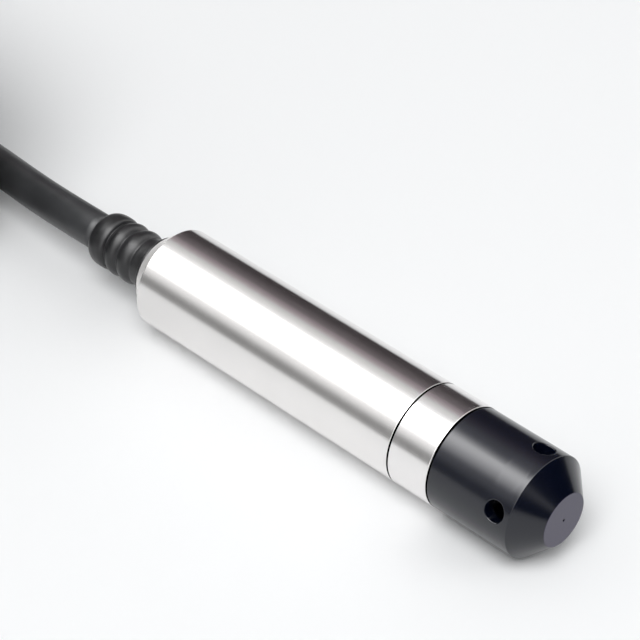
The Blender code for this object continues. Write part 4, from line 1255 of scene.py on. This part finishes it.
@dataclass(frozen=True)
class HankTie:
    """A nylon tie round a side of the hank: a ridged band with a lock and a cut tail on top.

    Attributes:
        name: The piece's name.
        node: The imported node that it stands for.
        x: Its middle along X.
        y: Its middle along Y.
        across_x: Whether the band stands across the X direction, as on the far fold, or across Y.
        half_width: Half the bundle's width.
        half_height: Half its height.
        middle_z: Its middle height.
        corner: Rounding of the bundle's corners.
        gap: Distance of the band from the bundle.
        thickness: The band's thickness.
        width: The band's width.
        edge: Bevel of its edges.
        ridge: Height of its ridges.
        points: Points round the band, a ridge at every third.
        lock: The lock's width and height.
        tail: Half the size of the cut tail along the band, as a share of the band's width, and up.
    """

    name: str
    node: str
    x: float
    y: float
    across_x: bool
    half_width: float = 8.4 * MM
    half_height: float = 29.9 * MM
    middle_z: float = 31.34 * MM
    corner: float = 4.1 * MM
    gap: float = 0.44 * MM
    thickness: float = 1.0 * MM
    width: float = 4.8 * MM
    edge: float = 0.25 * MM
    ridge: float = 0.12 * MM
    points: int = 360
    lock: Pair = (6.0 * MM, 3.0 * MM)
    tail: Point = (1.0 * MM, 0.8, 0.5 * MM)

    def loop(self) -> tuple[np.ndarray, np.ndarray]:
        """A rounded rectangle round the bundle at the band's inside, walked at an even pace.

        Returns:
            (sideways, up) points, and the outward direction at each.
        """
        centres = np.array([(1, 1), (-1, 1), (-1, -1), (1, -1)]) * (self.half_width - self.corner,
                                                                    self.half_height - self.corner)
        turns = np.linspace(0.0, math.pi / 2, 12)[None, :] + (math.pi / 2) * np.arange(4)[:, None]
        away = np.stack([np.cos(turns), np.sin(turns)], axis=-1)
        arcs = centres[:, None] + (self.corner + self.gap) * away
        line = np.concatenate([arcs.reshape(-1, 2), arcs[0, :1]])
        ways = np.concatenate([away.reshape(-1, 2), [(1.0, 0.0)]])
        pace = np.concatenate([[0.0], np.cumsum(np.linalg.norm(np.diff(line, axis=0), axis=1))])
        even = np.linspace(0.0, pace[-1], self.points, endpoint=False)
        spots, outward = (np.stack([np.interp(even, pace, column) for column in table.T], axis=1)
                          for table in (line, ways))
        return spots, unit(outward)

    def stand(self, sideways: np.ndarray, up: np.ndarray, along: np.ndarray) -> np.ndarray:
        """Places in the band's own plane, stood up where the tie goes."""
        across, beside = (along, sideways) if self.across_x else (sideways, along)
        return points_at(self.x + beside, self.y + across, self.middle_z + up)

    def build(self) -> bpy.types.Object:
        """Carries the band's section round the loop, with fine ridges on its outside, and adds lock and tail.

        Returns:
            The dressed tie.
        """
        spots, outward = self.loop()
        half, edge = self.width / 2 - 0.05 * MM, self.edge
        flank, crown, foot = self.thickness - 2 * edge, self.thickness - 0.05 * MM, 0.02 * MM
        across = np.array([-half, -half, -half + edge, half - edge, half, half, half - edge, -half + edge])
        above = np.array([edge, flank, crown, crown, flank, edge, foot, foot])
        ridge = np.where(np.arange(self.points) % 3 == 0, self.ridge, 0.0)[:, None] * (above > self.thickness / 2)
        height = above - ridge
        band = self.stand(spots[:, :1] + outward[:, :1] * height, spots[:, 1:] + outward[:, 1:] * height, across)
        top = self.half_height + self.gap + self.thickness
        wide, tall = self.lock
        lock = superblock((0.0, 0.0, top + tall / 2 - 0.1 * MM), (wide / 2, half, tall / 2), 0.22)
        long, share, thick = self.tail
        tail = superblock((wide / 2 - 0.6 * MM, 0.0, top + tall * 0.45), (long, half * share, thick), 0.25)
        parts = [Patch(band, loop_rows=True)]
        parts += [Patch(self.stand(shape[..., 0], shape[..., 2], shape[..., 1])) for shape in (lock, tail)]
        return dress(solid_from(self.name, parts), TIE_NYLON, [self.node])


@dataclass(frozen=True)
class Internals:
    """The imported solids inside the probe, which keep their shape and take their finishes here.

    Attributes:
        finishes: Each finish and the names of the nodes that have it.
    """

    finishes: tuple[tuple[Finish, str], ...] = (
        (SEAL_RUBBER, "cap_lock_ring head_o_ring cell_o_ring"), (CELL_STEEL, "pressure_cell cell_retaining_ring"),
        (DIAPHRAGM_FOIL, "isolating_diaphragm"), (BOARD_LAMINATE, "compensation_board circuit_board"),
        (CARRIER_PLASTIC, "board_carrier_front board_carrier_rear"), (CHIP_EPOXY, "amplifier_chip output_chip"),
        (ARRESTER_CERAMIC, "surge_arrester"), (CAPACITOR_CAN, "capacitor_1 capacitor_2"),
        (CORE_RED, "inner_core_red"), (CORE_BLACK, "inner_core_black"), (CORE_GREEN, "inner_core_green"),
        (VENT_TUBE, "inner_vent_tube"), (INNER_JACKET, "gland_cable"), (CLAMP_STEEL, "cable_clamp_ring"),
        (NICKEL_PLATE, "gland_pressure_screw"), (WASHER_BRASS, "gland_thrust_washer"),
        (GLAND_RUBBER, "gland_seal_bush"), (PIN_GOLD, "header_pin_1 header_pin_2 header_pin_3 header_pin_4"),
        (LEAD_INSULATION, "cell_lead_1 cell_lead_2 cell_lead_3 cell_lead_4"))

    def build(self) -> None:
        """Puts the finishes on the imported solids."""
        for finish, names in self.finishes:
            for name in names.split():
                PAINTS.coat(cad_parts[name], finish)
                LOG.info("%s: %s", name, finish.name)


# Floor, light and camera


@dataclass(frozen=True)
class Studio:
    """A white floor, a room of soft panels that the steel mirrors, soft lamps and the camera.

    Attributes:
        camera_at: The camera's place.
        yaw: Its bearing, from +Y towards +X, in degrees.
        pitch: How far it looks down, in degrees.
        lens: Focal length in millimetres.
        sensor: The sensor's width in millimetres.
        floor_colour: The floor's colour.
        floor_size: Half the floor's width.
        darkens: Distances between which the floor's colour darkens for all but the camera, a painted fall-off of the
            light.
        dark_share: What is left of its colour past them.
        whitens: Distances between which it turns into the white room for the camera.
        backdrop: The white that the camera sees past the floor.
        room: (angle from straight up towards the camera's side, in degrees, light) of the panels.
        room_peak: The light that counts as 1 on the panels' scale.
        shade: Tint of the panels on the far side, below the angle that stands first.
        ahead: Direction along X over which the panels fade out, and the share that is left.
        strip: Direction along X over which a bright strip stands across the room, and its light.
        soft: Width of the strip's soft edges.
        fill: The even light that reaches matt surfaces.
        fill_colour: Its colour.
        lamps: (name, place, size, power) of each lamp, all aimed at the probe.
    """

    camera_at: Point = (266.5 * MM, -277.4 * MM, 339.6 * MM)
    yaw: float = -43.85
    pitch: float = 39.43
    lens: float = 143.8
    sensor: float = 36.0
    floor_colour: Colour = (0.95, 0.957, 0.962)
    floor_size: float = 6.0
    darkens: Pair = (0.03, 0.40)
    dark_share: float = 0.65
    whitens: Pair = (0.35, 1.0)
    backdrop: Colour = (0.95, 0.97, 0.98)
    room: tuple[Pair, ...] = (
        (-90, 0.05), (-75, 0.06), (-65, 0.08), (-56, 0.12), (-47, 0.15), (-40, 0.28), (-32, 0.40), (-25, 0.60),
        (-19, 0.74), (-12, 0.86), (-6, 1.1), (0, 2.3), (6, 4.6), (12, 6.8), (18, 7.4), (24, 6.8), (30, 5.4), (36, 4.2),
        (42, 3.0), (47, 1.7), (53, 0.98), (58, 0.94), (64, 0.73), (70, 0.46), (76, 0.31), (82, 0.29), (90, 0.42))
    room_peak: float = 8.0
    shade: tuple[float, Colour] = (-30.0, (1.0, 0.87, 0.92))
    ahead: Point = (0.33, 0.50, 0.08)
    strip: Point = (-0.24, 0.22, 2.2)
    soft: float = 0.08
    fill: float = 0.38
    fill_colour: Colour = (0.98, 0.99, 1.0)
    lamps: tuple[tuple[str, Point, float, float], ...] = (
        ("key_panel", (0.6, -1.15, 2.4), 1.8, 52.5),
        ("side_panel", (0.9, 0.6, 0.8), 0.7, 2.3),
    )

    def build_floor(self) -> None:
        """Lays the floor: with distance its colour darkens as painted shade for all but the camera, to which it turns
        into the white room.
        """
        edge = self.floor_size
        row = np.array([-edge, -edge / 3, edge / 3, edge])
        points = points_at(*np.meshgrid(row, row, indexing="ij"), -0.02 * MM)
        mesh = fill_mesh("floor", points.reshape(-1, 3), Patch(points, loop_columns=False).quads()[:, ::-1])
        material = bpy.data.materials.new("floor_paper")
        graph = Graph(material)
        place = graph.coordinate("Object")
        reach = graph.node("VectorMath", {0: place}, operation="LENGTH").outputs["Value"]
        seen = graph.node("LightPath").outputs["Is Camera Ray"]
        unseen = graph.math("SUBTRACT", 1.0, seen)
        # painted shade: the floor's colour darkens with distance where mirrors see it
        darker = graph.math("MULTIPLY", graph.span(reach, 0.0, 1.0, self.darkens), unseen)
        dark = tuple(channel * self.dark_share for channel in self.floor_colour)
        paper = graph.tree.nodes["Principled BSDF"]
        graph.feed(paper, {
            "Roughness": 0.75, "Specular IOR Level": 0.2, "Base Color": graph.blend(darker, self.floor_colour, dark),
            "Normal": graph.bump(graph.noise(place, 900.0, 2.0), 0.1, 0.02 * MM)})
        white = graph.node("Emission", {"Color": (*self.backdrop, 1.0)})
        afar = graph.math("MULTIPLY", graph.span(reach, 0.0, 1.0, self.whitens), seen)
        mixed = graph.node("MixShader", {0: afar, 1: paper.outputs[0], 2: white.outputs[0]})
        graph.feed(graph.tree.nodes["Material Output"], {"Surface": mixed.outputs[0]})
        mesh.materials.append(material)
        place_new("floor", mesh)

    def panels(self, graph: Graph, angle: Socket) -> Socket:
        """The panels' light over the angle of a direction about X, as a share of the peak.

        Args:
            graph: The world's nodes.
            angle: The angle from straight up towards the camera's side, in radians.

        Returns:
            The light's colour.
        """
        quarter = math.pi / 2
        ramp = graph.node("ValToRGB", {"Fac": graph.span(angle, 0.0, 1.0, (-quarter, quarter))})
        stops = ramp.color_ramp.elements
        while len(stops) < len(self.room):
            stops.new(0.5)
        for stop, (degrees, light) in zip(stops, self.room):
            stop.position = (degrees + 90.0) / 180.0
            tint = self.shade[1] if degrees < self.shade[0] else (1.0, 1.0, 1.0)
            stop.color = (*(light / self.room_peak * channel for channel in tint), 1.0)
        return ramp.outputs["Color"]

    def build_room(self) -> None:
        """The world: white to the camera, panels along the probe to mirrors, an even fill to matt surfaces.

        A panel's light depends on the angle of the direction about X, so it is a band along the probe. The panels
        fade out ahead of the nose, and a narrow strip across them lights the small edges that face forward.
        """
        world = bpy.data.worlds.new("studio_room")
        bpy.context.scene.world = world
        graph = Graph(world)
        world.cycles.sampling_method = "NONE"
        graph.tree.nodes.clear()
        x, y, z = graph.parts(graph.coordinate("Generated"))
        colour = self.panels(graph, graph.math("ARCTAN2", graph.math("MULTIPLY", y, -1.0), z))
        ahead = graph.span(x, self.room_peak, self.room_peak * self.ahead[2], self.ahead[:2])
        start, stop, light = self.strip
        rise = graph.span(x, 0.0, light, (start, start + self.soft))
        fall = graph.span(x, light, 0.0, (stop - self.soft, stop))
        ray = graph.node("LightPath").outputs
        lit = [graph.node("Background", inputs).outputs[0] for inputs in (
            {"Color": colour, "Strength": ahead},
            {"Strength": graph.math("MINIMUM", rise, fall)},
            {"Color": (*self.fill_colour, 1.0), "Strength": self.fill},
            {"Color": (*self.backdrop, 1.0)})]
        walls = graph.node("AddShader", {0: lit[0], 1: lit[1]})
        mirrored = graph.node("MixShader", {0: ray["Is Glossy Ray"], 1: lit[2], 2: walls.outputs[0]})
        shown = graph.node("MixShader", {0: ray["Is Camera Ray"], 1: mirrored.outputs[0], 2: lit[3]})
        graph.node("OutputWorld", {"Surface": shown.outputs[0]})

    def build_lamps(self) -> None:
        """Hangs the soft lamps, which light matt surfaces and aren't mirrored."""
        target = Vector((0.0, 0.0, AXIS_HEIGHT))
        for name, place, size, power in self.lamps:
            light = bpy.data.lights.new(name, "AREA")
            light.shape = "SQUARE"
            light.size = size
            light.energy = power
            lamp = place_new(name, light)
            lamp.location = place
            lamp.rotation_euler = (target - Vector(place)).to_track_quat("-Z", "Y").to_euler()
            lamp.visible_glossy = False

    def build_camera(self) -> None:
        """Stands the camera where the photograph was taken from."""
        yaw, pitch = math.radians(self.yaw), math.radians(self.pitch)
        look = Vector((math.sin(yaw) * math.cos(pitch), math.cos(yaw) * math.cos(pitch), -math.sin(pitch)))
        data = bpy.data.cameras.new("photo_camera")
        data.sensor_fit = "HORIZONTAL"
        data.sensor_width = self.sensor
        data.lens = self.lens
        data.clip_start = 0.01
        camera = place_new("photo_camera", data)
        right = look.cross(Vector((0.0, 0.0, 1.0))).normalized()
        above = right.cross(look)
        turned = Matrix((right, above, -look)).transposed().to_4x4()
        camera.matrix_world = Matrix.Translation(self.camera_at) @ turned
        bpy.context.scene.camera = camera

    def build(self) -> None:
        """Sets up the whole studio and the plain view transform."""
        self.build_floor()
        self.build_room()
        self.build_lamps()
        self.build_camera()
        bpy.context.scene.view_settings.view_transform = "Standard"
        LOG.info("studio ready")


def main() -> None:
    """Builds the studio, then the sensor's pieces from the housing to the cable's end."""
    logging.basicConfig(level=logging.INFO, format="%(message)s")
    Studio().build()
    HousingTube().build()
    SensorHead().build()
    NoseCap().build()
    ReliefBoot().build()
    Internals().build()
    cable, path = Cable().build()
    carried = CableEnd().build()
    carried.append(HankTie("tie_side_band", "hank_tie_side", -175.83 * MM, 1.7 * MM, False).build())
    carried.append(HankTie("tie_end_band", "hank_tie_end", -256.25 * MM, -27.4 * MM, True).build())


if __name__ == "__main__":
    main()
